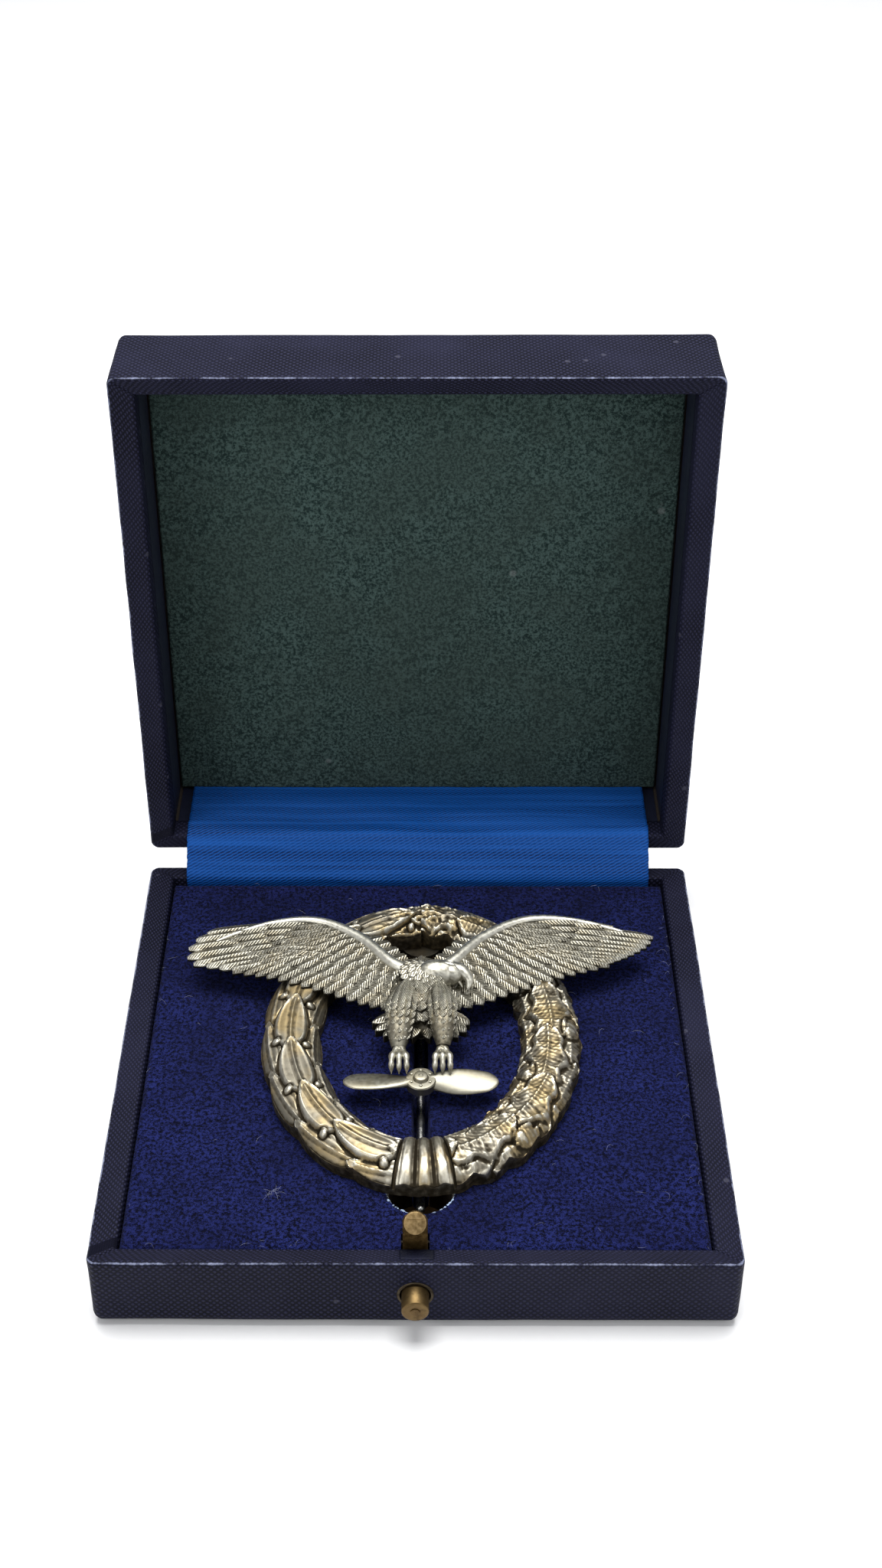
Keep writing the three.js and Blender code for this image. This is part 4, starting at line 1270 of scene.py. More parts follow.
    def latch(self) -> None:
        """Push button, its bush and stem, catch tongue, spring, guide and nails."""
        low, high = box_mm("push_button")
        axis = np.array([(low[0] + high[0]) / 2, 0, (low[2] + high[2]) / 2])
        r, y0, y1 = (high[0] - low[0]) / 2, low[1], high[1]
        profile = [
            (y0 - 0.12, 0.01), (y0 - 0.12, 0.09), (y0 + 0.02, 0.16), (y0 + 0.06, 0.3), (y0 + 0.02, 0.9)
        ]
        profile += [
            (y0 + 0.02, r - 0.22),
            (y0 + 0.06, r - 0.08),
            (y0 + 0.16, r),
            (y1 - 0.1, r),
            (y1, r - 0.1),
            (y1, 0.01),
        ]
        shape = Shape("brass_button")
        shape.add_closed(turned(profile, 64) + axis)
        shape.build(BRASS, "latch", ("push_button",))
        low, high = box_mm("button_bush")
        outer, front, back = (high[0] - low[0]) / 2, low[1], high[1]
        bore, tube = 1.85, 2.05
        ring = [
            (front, bore + 0.06),
            (front, outer - 0.22),
            (front + 0.08, outer - 0.14),
            (front + 0.16, outer - 0.14),
        ]
        ring += [(front + 0.17, tube), (back, tube), (back, bore), (front + 0.06, bore)]
        shape = Shape("brass_bush")
        shape.add(turned(ring, 64) + axis, wrap=(True, True))
        shape.build(DARK_BRASS, "base", ("button_bush",))
        softened_copy("button_stem", BRASS, "latch", 0.06)
        self.catch()
        self.spring()
        softened_copy("strike_plate", BRASS, "lid", 0.06)
        softened_copy("strike_nail_left", BRASS, "lid", 0.1)
        softened_copy("strike_nail_right", BRASS, "lid", 0.1)
        softened_copy("latch_guide", BRASS, "base", 0.06)

    def catch(self) -> None:
        """The catch: an upright bar with a round head whose flat face looks forwards and up.

        Formula: the bar's section is a rounded rectangle carried up its height; the head is a
        turned disc, tipped about X by its slope.
        """
        low, high = box_mm("catch_tongue")
        half, back = (high[0] - low[0]) / 2, high[1]
        turn = np.linspace(0, 2 * np.pi, 40, endpoint=False)
        square = np.stack([np.cos(turn), np.sin(turn)], 1)
        square = np.sign(square) * np.abs(square) ** 0.35
        tall = high[2] - low[2]
        z = low[2] + np.array(
            [0, 0.06, 0.2, tall - 3.6, tall - 3.5, tall - 3.3, tall - 3.2, tall - 1.7, tall - 1.0]
        )
        slim = np.array([0.9, 0.97, 1, 1, 0.955, 0.955, 1, 1, 0.82])
        x = square[None, :, 0] * half * slim[:, None]
        y = back - 0.5 + square[None, :, 1] * 0.47 * slim[:, None]
        bar = np.stack(np.broadcast_arrays(x, y, z[:, None]), -1)
        shape = Shape("brass_catch")
        # The bar's relief of -0.25 darkens it as painted shade.
        shape.add_closed(bar, relief=-0.25)
        r = 0.93 * half
        disc = turned(
            [
                (0.02, 0.01),
                (0.0, r - 0.2),
                (0.05, r - 0.06),
                (0.16, r),
                (1.3, r - 0.05),
                (1.5, r - 0.4),
                (1.5, 0.01),
            ],
            56,
        )
        slope = math.radians(42)
        tip = Matrix.Rotation(-slope, 3, "X")
        disc = disc @ np.array(tip).T
        top = high[2] - 0.3 - r * math.cos(slope)
        # Painted highlight: the head's front face (its first three rows) gets relief 0.55; the rest of the
        # head gets -0.1, a painted shade.
        shine = np.full(disc.shape[:2], 0.55)
        shine[3:] = -0.1
        at = (0, low[1] + r * math.sin(slope) + 0.1, top)
        shape.add_closed(disc + at, relief=shine)
        shape.build(CATCH_BRASS, "latch", ("catch_tongue",))

    def spring(self) -> None:
        """The coil spring behind the catch, drawn at one length; the real spring shortens as the button goes
        in.

        Formula: the wire's section circle is carried round a helix along Y, whose end coils lie
        close together.
        """
        low, high = box_mm("latch_spring")
        wire = 0.24
        coil = (high[0] - low[0]) / 2 - wire
        s = np.linspace(0, 1, 420)[:, None]
        turn = 2 * np.pi * 6.5 * s
        around = np.linspace(0, 2 * np.pi, 10, endpoint=False)[None, :]
        rise = low[1] + wire + (high[1] - low[1] - 2 * wire) * (3 * s**2 - 2 * s**3)
        reach = coil + wire * np.cos(around)
        middle = (low + high) / 2
        grid = np.stack(
            [
                middle[0] + reach * np.cos(turn),
                rise + wire * np.sin(around),
                middle[2] + reach * np.sin(turn),
            ], -1
        )
        shape = Shape("latch_coil")
        shape.add_closed(grid)
        piece = shape.build(STEEL, "base", ("latch_spring",))
        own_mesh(piece)

    def covers(self) -> None:
        """The base and lid covers, and the smooth patch of rim before the catch."""
        low, high = box_mm("base_covering")
        base = Tray(
            "base_cover", "base", high[0] - low[0], high[1] - low[1], high[2] - low[2],
            ("base_covering", "base_bottom_sheet"),
        )
        cover = base.build()
        button_low, button_high = box_mm("push_button")
        height = (button_low[2] + button_high[2]) / 2
        bore = self.cutter(turned([(-4, 0.01), (-4, 2.12), (4, 2.12), (4, 0.01)], 64))
        bore.data.transform(Matrix.Translation(Vector((0, low[1], height)) * MM))
        settle(cover, bore)
        low, high = box_mm("lid_covering")
        lid = Lid(
            "lid_cover", "lid", high[0] - low[0], high[2] - low[2], high[1] - low[1],
            ("lid_covering", "lid_top_sheet"), rim_y=low[1], middle_z=(low[2] + high[2]) / 2,
        )
        window = self.block((-1.9, low[1] + 1.7, high[2] - 3.2), (1.9, low[1] + 5.5, high[2] - 1.2))
        settle(lid.build(), window)
        self.rub_patch(base)

    def rub_patch(self, base: Tray) -> None:
        """The grainless, slightly shiny patch that the strike plate has rubbed on the front rim.

        Formula: a thin sheet that follows the rim's own section, 4.2 mm wide and 0.03 mm proud.
        """
        front = -base.depth / 2
        r, wall, top = base.rim_radius, base.end_wall, base.height
        arc = np.linspace(0, np.pi / 2, 6)
        y = np.concatenate(
            [front + wall - r + r * np.cos(arc), np.linspace(front + wall - r, front + r + 0.3, 6)[1:]]
        )
        z = np.concatenate([top - r + r * np.sin(arc), np.full(5, top)])
        x = np.linspace(-1.9, 2.3, 16)
        grid = np.stack(np.broadcast_arrays(x[None, :], y[:, None], z[:, None] + 0.03), -1)
        shape = Shape("rubbed_rim_patch")
        shape.add(grid, u=grid[..., 0] * MM, v=grid[..., 1] * MM, wear=0.05)
        patch = shape.build(PLAIN_LEATHERETTE, "base")
        wall_modifier = patch.modifiers.new("thickness", "SOLIDIFY")
        wall_modifier.thickness, wall_modifier.offset = 0.04 * MM, -1

    def lint(self) -> None:
        """Loose fibres on the velvet: short bent threads, each a three-sided tube.

        Formula: a thread starts at a seeded place, runs its length in a seeded direction and
        bends by the square of the distance run.
        """
        rng = np.random.default_rng(41)
        low, high = box_mm("velvet_pad")
        count, rows = 110, 6
        start = rng.uniform(low[:2] + 0.6, high[:2] - 0.6, (count, 2))
        edge = rng.uniform(0, 1, count) < 0.45
        which = rng.integers(0, 4, count)
        start[edge & (which == 0), 1] = low[1] + rng.uniform(0.1, 0.9)
        start[edge & (which == 1), 1] = high[1] - 0.5
        start[edge & (which == 2), 0] = low[0] + 0.4
        start[edge & (which == 3), 0] = high[0] - 0.4
        way = rng.uniform(0, 2 * np.pi, count)
        bend = rng.normal(0, 0.9, count)
        length = rng.uniform(0.4, 1.7, count)
        start[:16] = (-17.4, -25.6) + rng.normal(0, 0.25, (16, 2))
        s = np.linspace(0, 1, rows)[None, :]
        turn = way[:, None] + bend[:, None] * s
        run = length[:, None] * s
        x = start[:, :1] + run * np.cos(turn)
        y = start[:, 1:] + run * np.sin(turn)
        lift = rng.uniform(0.05, 0.5, count)[:, None] * np.sin(np.pi * s)
        line = np.stack(
            [np.clip(x, low[0], high[0]), np.clip(y, low[1], high[1]), high[2] + 0.06 + lift], -1
        )
        around = np.radians([90, 210, 330])[None, None, :]
        thin = 0.014 * np.sin(np.pi * (0.1 + 0.8 * s))[..., None]
        side = np.stack([-np.sin(turn), np.cos(turn), 0 * turn], -1)[:, :, None]
        up = np.array([0, 0, 1.0])
        tubes = line[:, :, None] + side * (thin * np.cos(around))[..., None] + up * (
            thin * np.sin(around)
        )[..., None]
        shape = Shape("velvet_lint")
        for tube in tubes:
            shape.add_closed(tube)
        shape.build(LINT, "base")

    def dress_frame_nodes(self) -> None:
        """Gives the frame nodes that still show their finishes."""
        record = frame["record"]
        slots = {row["node"]: row["material_slot"] for row in record["subparts"]}
        finishes = {
            "bare_wood": WOOD,
            "card": CARD,
            "navy_paper": DARK_PAPER,
            "spring_steel": STEEL,
            "brass": BRASS,
            "wreath_silver": BACK_SILVER,
            "aged_silver": BACK_SILVER,
        }
        for name, node in frame["nodes"].items():
            if slots[name] in finishes and not node.hide_render:
                node.data.materials.clear()
                # The pad block and the lid's bare wood wear wood darkened as painted shade.
                shaded = name == "pad_block" or (name.startswith("lid_") and slots[name] == "bare_wood")
                finish = SHADE_DARK_WOOD if shaded else finishes[slots[name]]
                node.data.materials.append(finish.material())

    def build(self) -> None:
        """Builds every visible piece of the case."""
        self.covers()
        self.velvet()
        self.lint()
        self.lining()
        self.cloth_hinge()
        self.latch()



# ---------------------------------------------------------------- badge


@dataclass
class Wreath:
    """The cast oval wreath: laurel on the left, oak on the right, three tie bands below.

    Its surface is one height over (distance along the ring, distance across the band).
    """

    origin: Array
    half_width: float = 21.0
    half_height: float = 26.6
    band: float = 7.8
    rise: float = 3.8
    edge: float = 1.6
    columns: int = 1060
    across: int = 72
    laurel_pitch: float = 8.3
    oak_pitch: float = 8.8

    def ring(self) -> tuple[Array, Array, Array]:
        """Angles spread evenly by length along the band's middle line, from the lowest point.

        Returns:
            Angles, signed distance from the lowest point (left is negative), and half the length.
        """
        a, b = self.half_width - self.band / 2, self.half_height - self.band / 2
        dense = np.linspace(-np.pi / 2, 1.5 * np.pi, 7201)
        step = np.hypot(np.diff(a * np.cos(dense)), np.diff(b * np.sin(dense)))
        run = np.concatenate([[0], np.cumsum(step)])
        along = np.linspace(0, run[-1], self.columns, endpoint=False)
        angle = np.interp(along, run, dense)
        signed = np.where(along > run[-1] / 2, along - run[-1], along)
        return angle, signed, run[-1] / 2

    @staticmethod
    def leaf(p: Array, q: Array, point: float, lobes: float = 0.0) -> Array:
        """How far inside one leaf each place lies.

        Formula: the outline's half width at p is (1 - p)^point (1 + p)^0.45, widened and narrowed
        by a cosine where the leaf is lobed; the value is 1 less the size of q over that width.

        Args:
            p: place along the leaf, -1 at its stalk and 1 at its tip.
            q: place across the leaf, in half widths.
            point: how sharply it ends.
            lobes: depth of the lobes.

        Returns:
            1 on the middle line, 0 on the outline, negative outside.
        """
        inside_p = np.clip(p, -0.999, 0.999)
        half = (1 - inside_p) ** point * (1 + inside_p) ** 0.45
        half = half * (1 + lobes * np.cos(inside_p * 9.0))
        return np.where(np.abs(p) < 1, 1 - np.abs(q) / np.maximum(half, 1e-3), -1.0)

    @staticmethod
    def stamp(height: Array, inside: Array, body: Array, groove: float) -> Array:
        """Lays one leaf over a height and cuts a groove round it.

        Args:
            height: the height so far.
            inside: how far inside the leaf each place lies.
            body: height of the leaf's own face.
            groove: depth of the groove.

        Returns:
            The new height.
        """
        sunk = height - groove * bump_of(inside + 0.07, 0.13) * (inside < 0)
        edge = 0.42 * np.clip(inside / 0.12, 0, 1) ** 0.6 + 0.12 * bump_of(inside - 0.2, 0.1)
        return np.where(inside > 0, body + edge, sunk)

    def laurel(self, run: Array, t: Array, height: Array) -> Array:
        """Adds three rows of overlapping laurel leaves and their berries to a height."""
        crown = self.crown(t)
        rows = ((2.9, 4.1, 1.75, 4.9, -0.5), (-2.9, 4.1, 1.75, 4.9, -0.5), (0.0, 0.0, 2.15, 4.8, 0.05))
        for middle, shift, half_w, half_l, lift in rows:
            for k in range(7, -2, -1):
                p = (run - (7.6 + shift + k * self.laurel_pitch)) / half_l
                q = (t - middle - 0.3 * np.sign(middle) * p) / half_w
                inside = self.leaf(p, q, 0.75)
                rib = 0.14 * bump_of(q, 0.08) - 0.08 * bump_of(np.abs(q) - 0.2, 0.07)
                contour = -0.07 * bump_of(
                    inside - 0.42, 0.05
                ) * (middle != 0) - 0.05 * (middle == 0) * inside
                body = crown + lift + 0.16 * (1 - q**2) + 0.14 * p + rib * (np.abs(p) < 0.8) + contour
                height = self.stamp(height, inside, body, 0.3)
        for k in range(8):
            for side in (-1, 1):
                away = np.hypot(run - 3.6 - k * self.laurel_pitch - 0.5 * side, t - side * 1.95) / 0.55
                berry = np.sqrt(np.clip(1 - away**2, 0, 1))
                height = height - 0.28 * bump_of(away - 1.15, 0.2) * (away > 0.8)
                height = np.where(away < 1, np.maximum(height, crown - 0.1 + 0.55 * berry), height)
        return height

    def oak(self, run: Array, t: Array, height: Array, crumple: Array) -> Array:
        """Adds lobed oak leaves in three rows, and acorns, to a height."""
        crown = self.crown(t)
        rows = (
            (2.9, 4.2, 1.9, 5.2, -0.35, 0.18), (-2.9, 3.4, 1.9, 5.2, -0.35, 0.18),
            (0.1, 0.0, 2.5, 5.4, 0.05, 0.17),
        )
        for middle, shift, half_w, half_l, lift, lobes in rows:
            for k in range(6, -2, -1):
                p = (run - (8.2 + shift + k * self.oak_pitch)) / half_l
                q = (t - middle - 0.35 * np.sin(k * 2.1) * (1 + p)) / half_w
                inside = self.leaf(p, q, 0.55, lobes)
                rib = 0.18 * bump_of(q, 0.1)
                veins = 0.12 * np.cos(9.0 * p - 4.0 * np.abs(q)) * np.clip(np.abs(q) * 2, 0, 1)
                body = crown + lift + 0.14 * (1 - q**2) + 0.14 * p + rib + veins
                height = self.stamp(height, inside, body, 0.34)
        acorns = (
            (13.2, 2.75, 0.5), (22.4, -2.4, -0.4), (31.6, 2.6, 0.3), (41.0, -2.5, 0.2), (50.0, 2.5, 0.0)
        )
        for centre, side, lean in acorns:
            p, q = (run - centre) / 1.75, (t - side - lean * (run - centre) * 0.3) / 1.15
            away = np.hypot(p, q)
            nut = np.sqrt(np.clip(1 - away**2, 0, 1))
            cup = 0.22 * np.clip((-p - 0.1) * 6, 0, 1) + 0.05 * np.cos(p * 30) * np.cos(q * 16) * (p < -0.1)
            height = np.where(away < 1, np.maximum(height, crown - 0.55 + 1.15 * nut + cup), height)
            height = height - 0.3 * bump_of(away - 1.12, 0.12) * (away > 1)
        return height + 0.08 * crumple

    def crown(self, t: Array) -> Array:
        """Height of the plain band: edge + rise times (1 - the 2.6th power of its share)."""
        share = np.clip(np.abs(t) / (self.band / 2), 0, 1)
        return self.edge + (self.rise - self.edge - 0.35) * (1 - share**2.6)

    def reach(self, signed: Array, side: int) -> Array:
        """Half width of the band on one side, scalloped by the leaves that end there.

        Args:
            signed: distance along the ring, left negative.
            side: 1 for the outer edge and -1 for the inner one.

        Returns:
            Half width at each column.
        """
        pitch = np.where(signed < 0, self.laurel_pitch, self.oak_pitch / 2)
        phase = (np.abs(signed) - np.where(signed < 0, 7.3, 1.2)) / pitch
        cusp = np.abs((phase % 1) - 0.5) * 2
        depth = np.where(signed < 0, 0.55, 0.5)
        half = self.band / 2 + 0.1 - depth * cusp**2.4
        tied = bump_of(np.maximum(np.abs(signed - 0.4) - 3.0, 0), 0.3)
        bands = self.band / 2 + 0.12 - 0.1 * np.abs(np.cos(np.pi * (signed - 0.4) / 2.0)) ** 8
        jitter = 0.12 * np.sin(signed * 1.7 + side) * (signed > 0)
        slim = 0.9 * (side < 0) * np.clip((np.abs(signed) - np.abs(signed).max() + 17.0) / 10.0, 0, 1)
        return half * (1 - tied) + bands * tied + jitter * (1 - tied) - slim

    def surface(self) -> tuple[Array, dict[str, Array]]:
        """The wreath's closed grid, and the relief kept at its points.

        Formula: a point at angle A and offset t lies at ((a + t) cos A, (b + t) sin A); its height
        is the highest leaf, berry, acorn or tie there. The relief is the height less its own mean
        over the neighbourhood.
        """
        angle, signed, half_length = self.ring()
        outer, inner = self.reach(signed, 1), self.reach(signed, -1)
        share = np.linspace(-1, 1, self.across)[:, None]
        t = np.where(share > 0, share * outer, share * inner)
        run = np.abs(signed)[None, :] + 0 * t
        flat = np.stack([run, t, np.sign(signed)[None, :] + 0 * t], -1)
        crumple = ripple(flat, 1.9, 3, 2)
        base = self.crown(t) - 0.75 + 0.12 * crumple
        left = self.laurel(run, t, base)
        right = self.oak(run, t, base, crumple)
        height = np.where(signed[None, :] < 0, left, right)
        top = np.clip((run - half_length + 8) / 8, 0, 1)
        height = height + 0.26 * top * ripple(flat, 2.2, 9, 3)
        ties = np.abs(signed[None, :] - 0.4)
        band = (ties + 1.0) % 2.0 - 1.0
        wrap = np.sqrt(np.clip(1 - (band / 1.02) ** 2, 0, 1))
        strands = -0.12 * bump_of(np.abs(band) - 0.62, 0.08) + 0.03 * ripple(flat * (1, 0.12, 1), 0.6, 14, 2)
        tied = self.crown(t * 0.92) - 0.25 + 0.6 * wrap + strands
        height = np.where(ties < 3.0, tied, height)
        height = np.where(np.abs(ties - 3.12) < 0.14, self.crown(t) - 0.6, height)
        blurred = height
        for axis, reach in ((1, 7), (0, 3)):
            mode = "wrap" if axis else "edge"
            pad = [(0, 0), (0, 0)]
            pad[axis] = (reach, reach)
            padded = np.pad(blurred, pad, mode=mode)
            size = blurred.shape[axis]
            count = 2 * reach + 1
            blurred = sum(np.take(padded, np.arange(size) + i, axis=axis) for i in range(count)) / count
        relief = np.clip((height - blurred) * 4.2 + 0.02, -1, 1)
        walls = np.linspace(0, 1, 9)[:, None]
        side_z = [height[0] * walls[:-1] ** 0.8, height, height[-1] * walls[::-1][1:] ** 0.8]
        side_t = [t[0] * (1 - 0.03 * (1 - walls[:-1])), t, t[-1] * (1 - 0.03 * (1 - walls[::-1][1:]))]
        z, across = np.concatenate(side_z), np.concatenate(side_t)
        # The side walls' relief falls to -0.35 at their foot, so they are darker towards the bottom.
        walled_relief = [
            relief[0] * 0 - 0.35 + 0.5 * walls[:-1] ** 6,
            relief,
            relief[-1] * 0 - 0.35 + 0.5 * walls[::-1][1:] ** 6,
        ]
        a, b = self.half_width - self.band / 2, self.half_height - self.band / 2
        grid = np.stack([(a + across) * np.cos(angle), (b + across) * np.sin(angle), z], -1)
        return grid + self.origin, {"relief": np.concatenate(walled_relief)}

    def build(self) -> bpy.types.Object:
        """Builds the wreath."""
        grid, kept = self.surface()
        shape = Shape("cast_wreath")
        shape.add(grid, wrap=(True, True), **kept)
        return shape.build(WREATH_SILVER, "badge", ("wreath",))


@dataclass
class Bird:
    """The spread-winged bird of prey: overlapping feathers over plain cores."""

    origin: Array
    low: float = 3.9
    span: float = 32.0
    shape: Shape = field(default_factory=lambda: Shape("silver_bird"))

    LEADING = ((0, 9.2), (3.6, 10.6), (8.4, 16.2), (14.0, 19.9), (19.8, 20.2), (26.2, 18.3), (32.0, 15.0))
    TRAILING = ((0, 2.0), (6.4, 3.0), (13.4, 6.2), (19.8, 8.9), (26.0, 10.6), (30.2, 12.4), (32.0, 14.4))

    def edges(self, x: Array) -> tuple[Array, Array]:
        """Leading and trailing edge of the right wing at each x."""
        out = []
        for points in (self.LEADING, self.TRAILING):
            line = smooth_line(list(points), 200)
            out.append(np.interp(x, line[:, 0], line[:, 1]))
        return out[0], out[1]

    @staticmethod
    def feathers(
        root: Array,
        tip: Array,
        width: Array,
        top: Array,
        foot: Array,
        bend: Array,
        rows: int = 15,
        tilt: float = 0.12,
        shine: float = 0.0,
        blunt: float = 0.66,
    ) -> tuple[Array, dict[str, Array]]:
        """Many feathers at once, as closed blades.

        Formula: the middle line runs from root to tip, moved sideways by bend times s(1 - s); the
        half width grows to full over the first third and closes to a blunt point over the last;
        the face is arched by 1 - q squared, with a ridge at its shaft and one edge higher.

        Args:
            root: (n, 2) roots.
            tip: (n, 2) tips.
            width: (n) full widths.
            top: (n) height of the face.
            foot: (n) height of the underside.
            bend: (n) sideways bow.
            rows: rows along a feather.
            tilt: how much higher one edge lies.
            shine: added to the relief that is kept.
            blunt: share of the length at which the end begins to close.

        Returns:
            (n, rows, columns, 3) points, and the values kept at them.
        """
        s = np.concatenate([np.linspace(0, 0.8, rows - 5), [0.87, 0.93, 0.97, 0.99, 1.0]])[None, :, None]
        q = np.array([-1, -0.92, -0.6, -0.3, -0.1, 0, 0.1, 0.3, 0.6, 0.92, 1, 0.6, 0, -0.6])[None, None, :]
        over = np.array([0.0] + [1.0] * 9 + [0.0] + [-1.0] * 3)[None, None, :]
        along = tip - root
        length = np.linalg.norm(along, axis=1, keepdims=True)
        unit = along / length
        side = np.stack([-unit[:, 1], unit[:, 0]], 1)
        closing = np.clip(1 - (np.clip(s - blunt, 0, 1) / (1.001 - blunt)) ** 2.2, 0.004, 1) ** 0.7
        half = width[:, None, None] / 2 * (0.6 + 0.4 * np.clip(s / 0.35, 0, 1)) * closing
        off = q * half + (bend * length[:, 0])[:, None, None] * 4 * s * (1 - s)
        x = root[:, 0, None, None] + along[:, 0, None, None] * s + side[:, 0, None, None] * off
        y = root[:, 1, None, None] + along[:, 1, None, None] * s + side[:, 1, None, None] * off
        arch = 0.2 * (1 - q**2) + 0.12 * bump_of(q, 0.14) + tilt * q + 0.1 * s
        face = top[:, None, None] + arch - 0.12 * (1 - closing)
        wall = top[:, None, None] - 0.1 + tilt * q
        z = np.where(over > 0, face, np.where(over < 0, foot[:, None, None], wall))
        rim = np.clip(np.abs(q) * 5 - 3.9, 0, 1) + np.clip(s * 14 - 12.8, 0, 1)
        bright = shine - 0.1 + 0.6 * bump_of(q, 0.13) + 0.75 * np.clip(rim, 0, 1) * (0.3 + 0.7 * s)
        # Painted shadow: a dark line along the lower edge of each feather, where q is below -0.75, short of
        # its tip.
        bright = bright - 1.3 * np.clip(-8 * q - 6.0, 0, 1) * (s < 0.93)
        relief = np.where(over > 0, bright, np.where(over < 0, -0.9, -0.55))
        u = np.where(over > 0, q * half, 0) * MM
        v = (s * length[:, :, None] + 0.13 * np.arange(len(root))[:, None, None]) * MM * (over > 0)
        x, y, z, u, v, relief = np.broadcast_arrays(x, y, z, u, v, np.clip(relief, -1, 1))
        return np.stack([x, y, z], -1), {"relief": relief, "u": u, "v": v}

    def add_feathers(self, sides: tuple[int, ...], **spec: Array | float) -> None:
        """Adds feathers to the shape, as given for 1 and mirrored in x for -1."""
        grid, kept = self.feathers(**spec)
        for side in sides:
            for n in range(len(grid)):
                placed = self.sway(grid[n] * (side, 1, 1)) + self.origin
                self.shape.add_closed(placed, **{k: v[n] for k, v in kept.items()})

    @staticmethod
    def sway(points: Array) -> Array:
        """Lifts the right wing's end a little and lowers the left one's: y + 1.4 mm (x / 32)^3."""
        moved = np.array(points)
        moved[..., 1] += 1.4 * (moved[..., 0] / 32.0) ** 3
        return moved

    def wing_row(
        self,
        count: int,
        x0: float,
        x1: float,
        share: float,
        length: tuple[float, float],
        width: float,
        top: float,
        foot: float,
        angles: tuple[float, float],
        bend: float,
    ) -> None:
        """One row of wing feathers, tips on a share of the chord.

        Args:
            count: number of feathers.
            x0: x of the innermost tip.
            x1: x of the outermost tip.
            share: share of the chord, 0 at the leading edge and 1 at the trailing edge.
            length: lengths of the innermost and the outermost feather.
            width: width as a multiple of the spacing.
            top: height of the faces above the wing's underside.
            foot: height of the undersides above the wing's underside.
            angles: direction of the innermost and the outermost feather, in degrees.
            bend: sideways bow.
        """
        k = np.linspace(0, 1, count)
        x = x0 + (x1 - x0) * k
        lead, trail = self.edges(x)
        tip = np.stack([x, lead + (trail - lead) * share], 1)
        turn = np.radians(angles[0] + (angles[1] - angles[0]) * k)
        reach = (length[0] + (length[1] - length[0]) * k)[:, None]
        way = np.stack([np.cos(turn), np.sin(turn)], 1)
        tried = tip - np.linspace(1, 0.3, 15)[:, None, None] * reach * way
        behind = tried[..., 1] < self.edges(tried[..., 0])[0] - 1.1
        root = tried[np.argmax(behind & (tried[..., 0] > 0.8), axis=0), np.arange(count)]
        step_x, step_y = np.gradient(tip, axis=0).T
        spacing = np.hypot(step_x, step_y) * np.abs(np.sin(turn - np.arctan2(step_y, step_x)))
        self.add_feathers(
            (1, -1), root=root, tip=tip, width=np.maximum(spacing, 0.75) * width,
            top=self.low + top + 0.012 * np.arange(count)[::-1] / count,
            foot=np.full(count, self.low + foot),
            bend=np.full(count, bend),
        )

    def wings(self) -> None:
        """Core plates, five rows of feathers, fingered tips and leading ridges."""
        x = np.linspace(1.0, 20.5, 60)
        lead, trail = self.edges(x)
        share = np.array([0.06, 0.2, 0.5, 0.8, 0.9, 0.9, 0.5, 0.06])
        level = np.array([1.0, 1.05, 0.85, 0.6, 0.5, 0.15, 0.1, 0.1])
        y = lead[:, None] + (trail - lead)[:, None] * share
        z = self.low + level[None, :] + 0 * y
        core = np.stack([x[:, None] + 0 * y, y, z], -1)
        for side in (1, -1):
            placed = self.sway(core * (side, 1, 1)) + self.origin
            self.shape.add_closed(placed, relief=-0.35)
        self.fingers()
        self.wing_row(14, 5.2, 25.5, 1.02, (6.0, 13.0), 1.5, 0.5, 0.0, (-52, -22), 0.02)
        self.wing_row(12, 5.0, 23.5, 0.8, (5.4, 9.0), 1.5, 0.78, 0.3, (-50, -19), 0.025)
        self.wing_row(13, 4.6, 22.0, 0.62, (5.0, 8.0), 1.45, 1.0, 0.4, (-47, -16), 0.03)
        self.wing_row(12, 4.2, 20.5, 0.46, (4.4, 6.5), 1.45, 1.18, 0.5, (-44, -13), 0.03)
        self.wing_row(13, 3.9, 19.5, 0.32, (3.8, 5.5), 1.4, 1.33, 0.6, (-40, -10), 0.03)
        self.wing_row(12, 3.5, 18.0, 0.2, (3.2, 4.6), 1.35, 1.45, 0.7, (-36, -6), 0.02)
        ridge = smooth_line([(*p, self.low + 1.6) for p in self.LEADING], 90)
        ridge[:, 1] -= 0.5
        ridge = ridge[6:80]
        run = np.linspace(0, 1, len(ridge))
        taper = 1 - 0.75 * run**1.8
        ridge[:, 2] -= 0.95 * run**2
        tube = swept(ridge, 0.86 * taper, 0.8 * taper)
        for side in (1, -1):
            placed = self.sway(tube * (side, 1, 1)) + self.origin
            self.shape.add_closed(placed, relief=0.8)

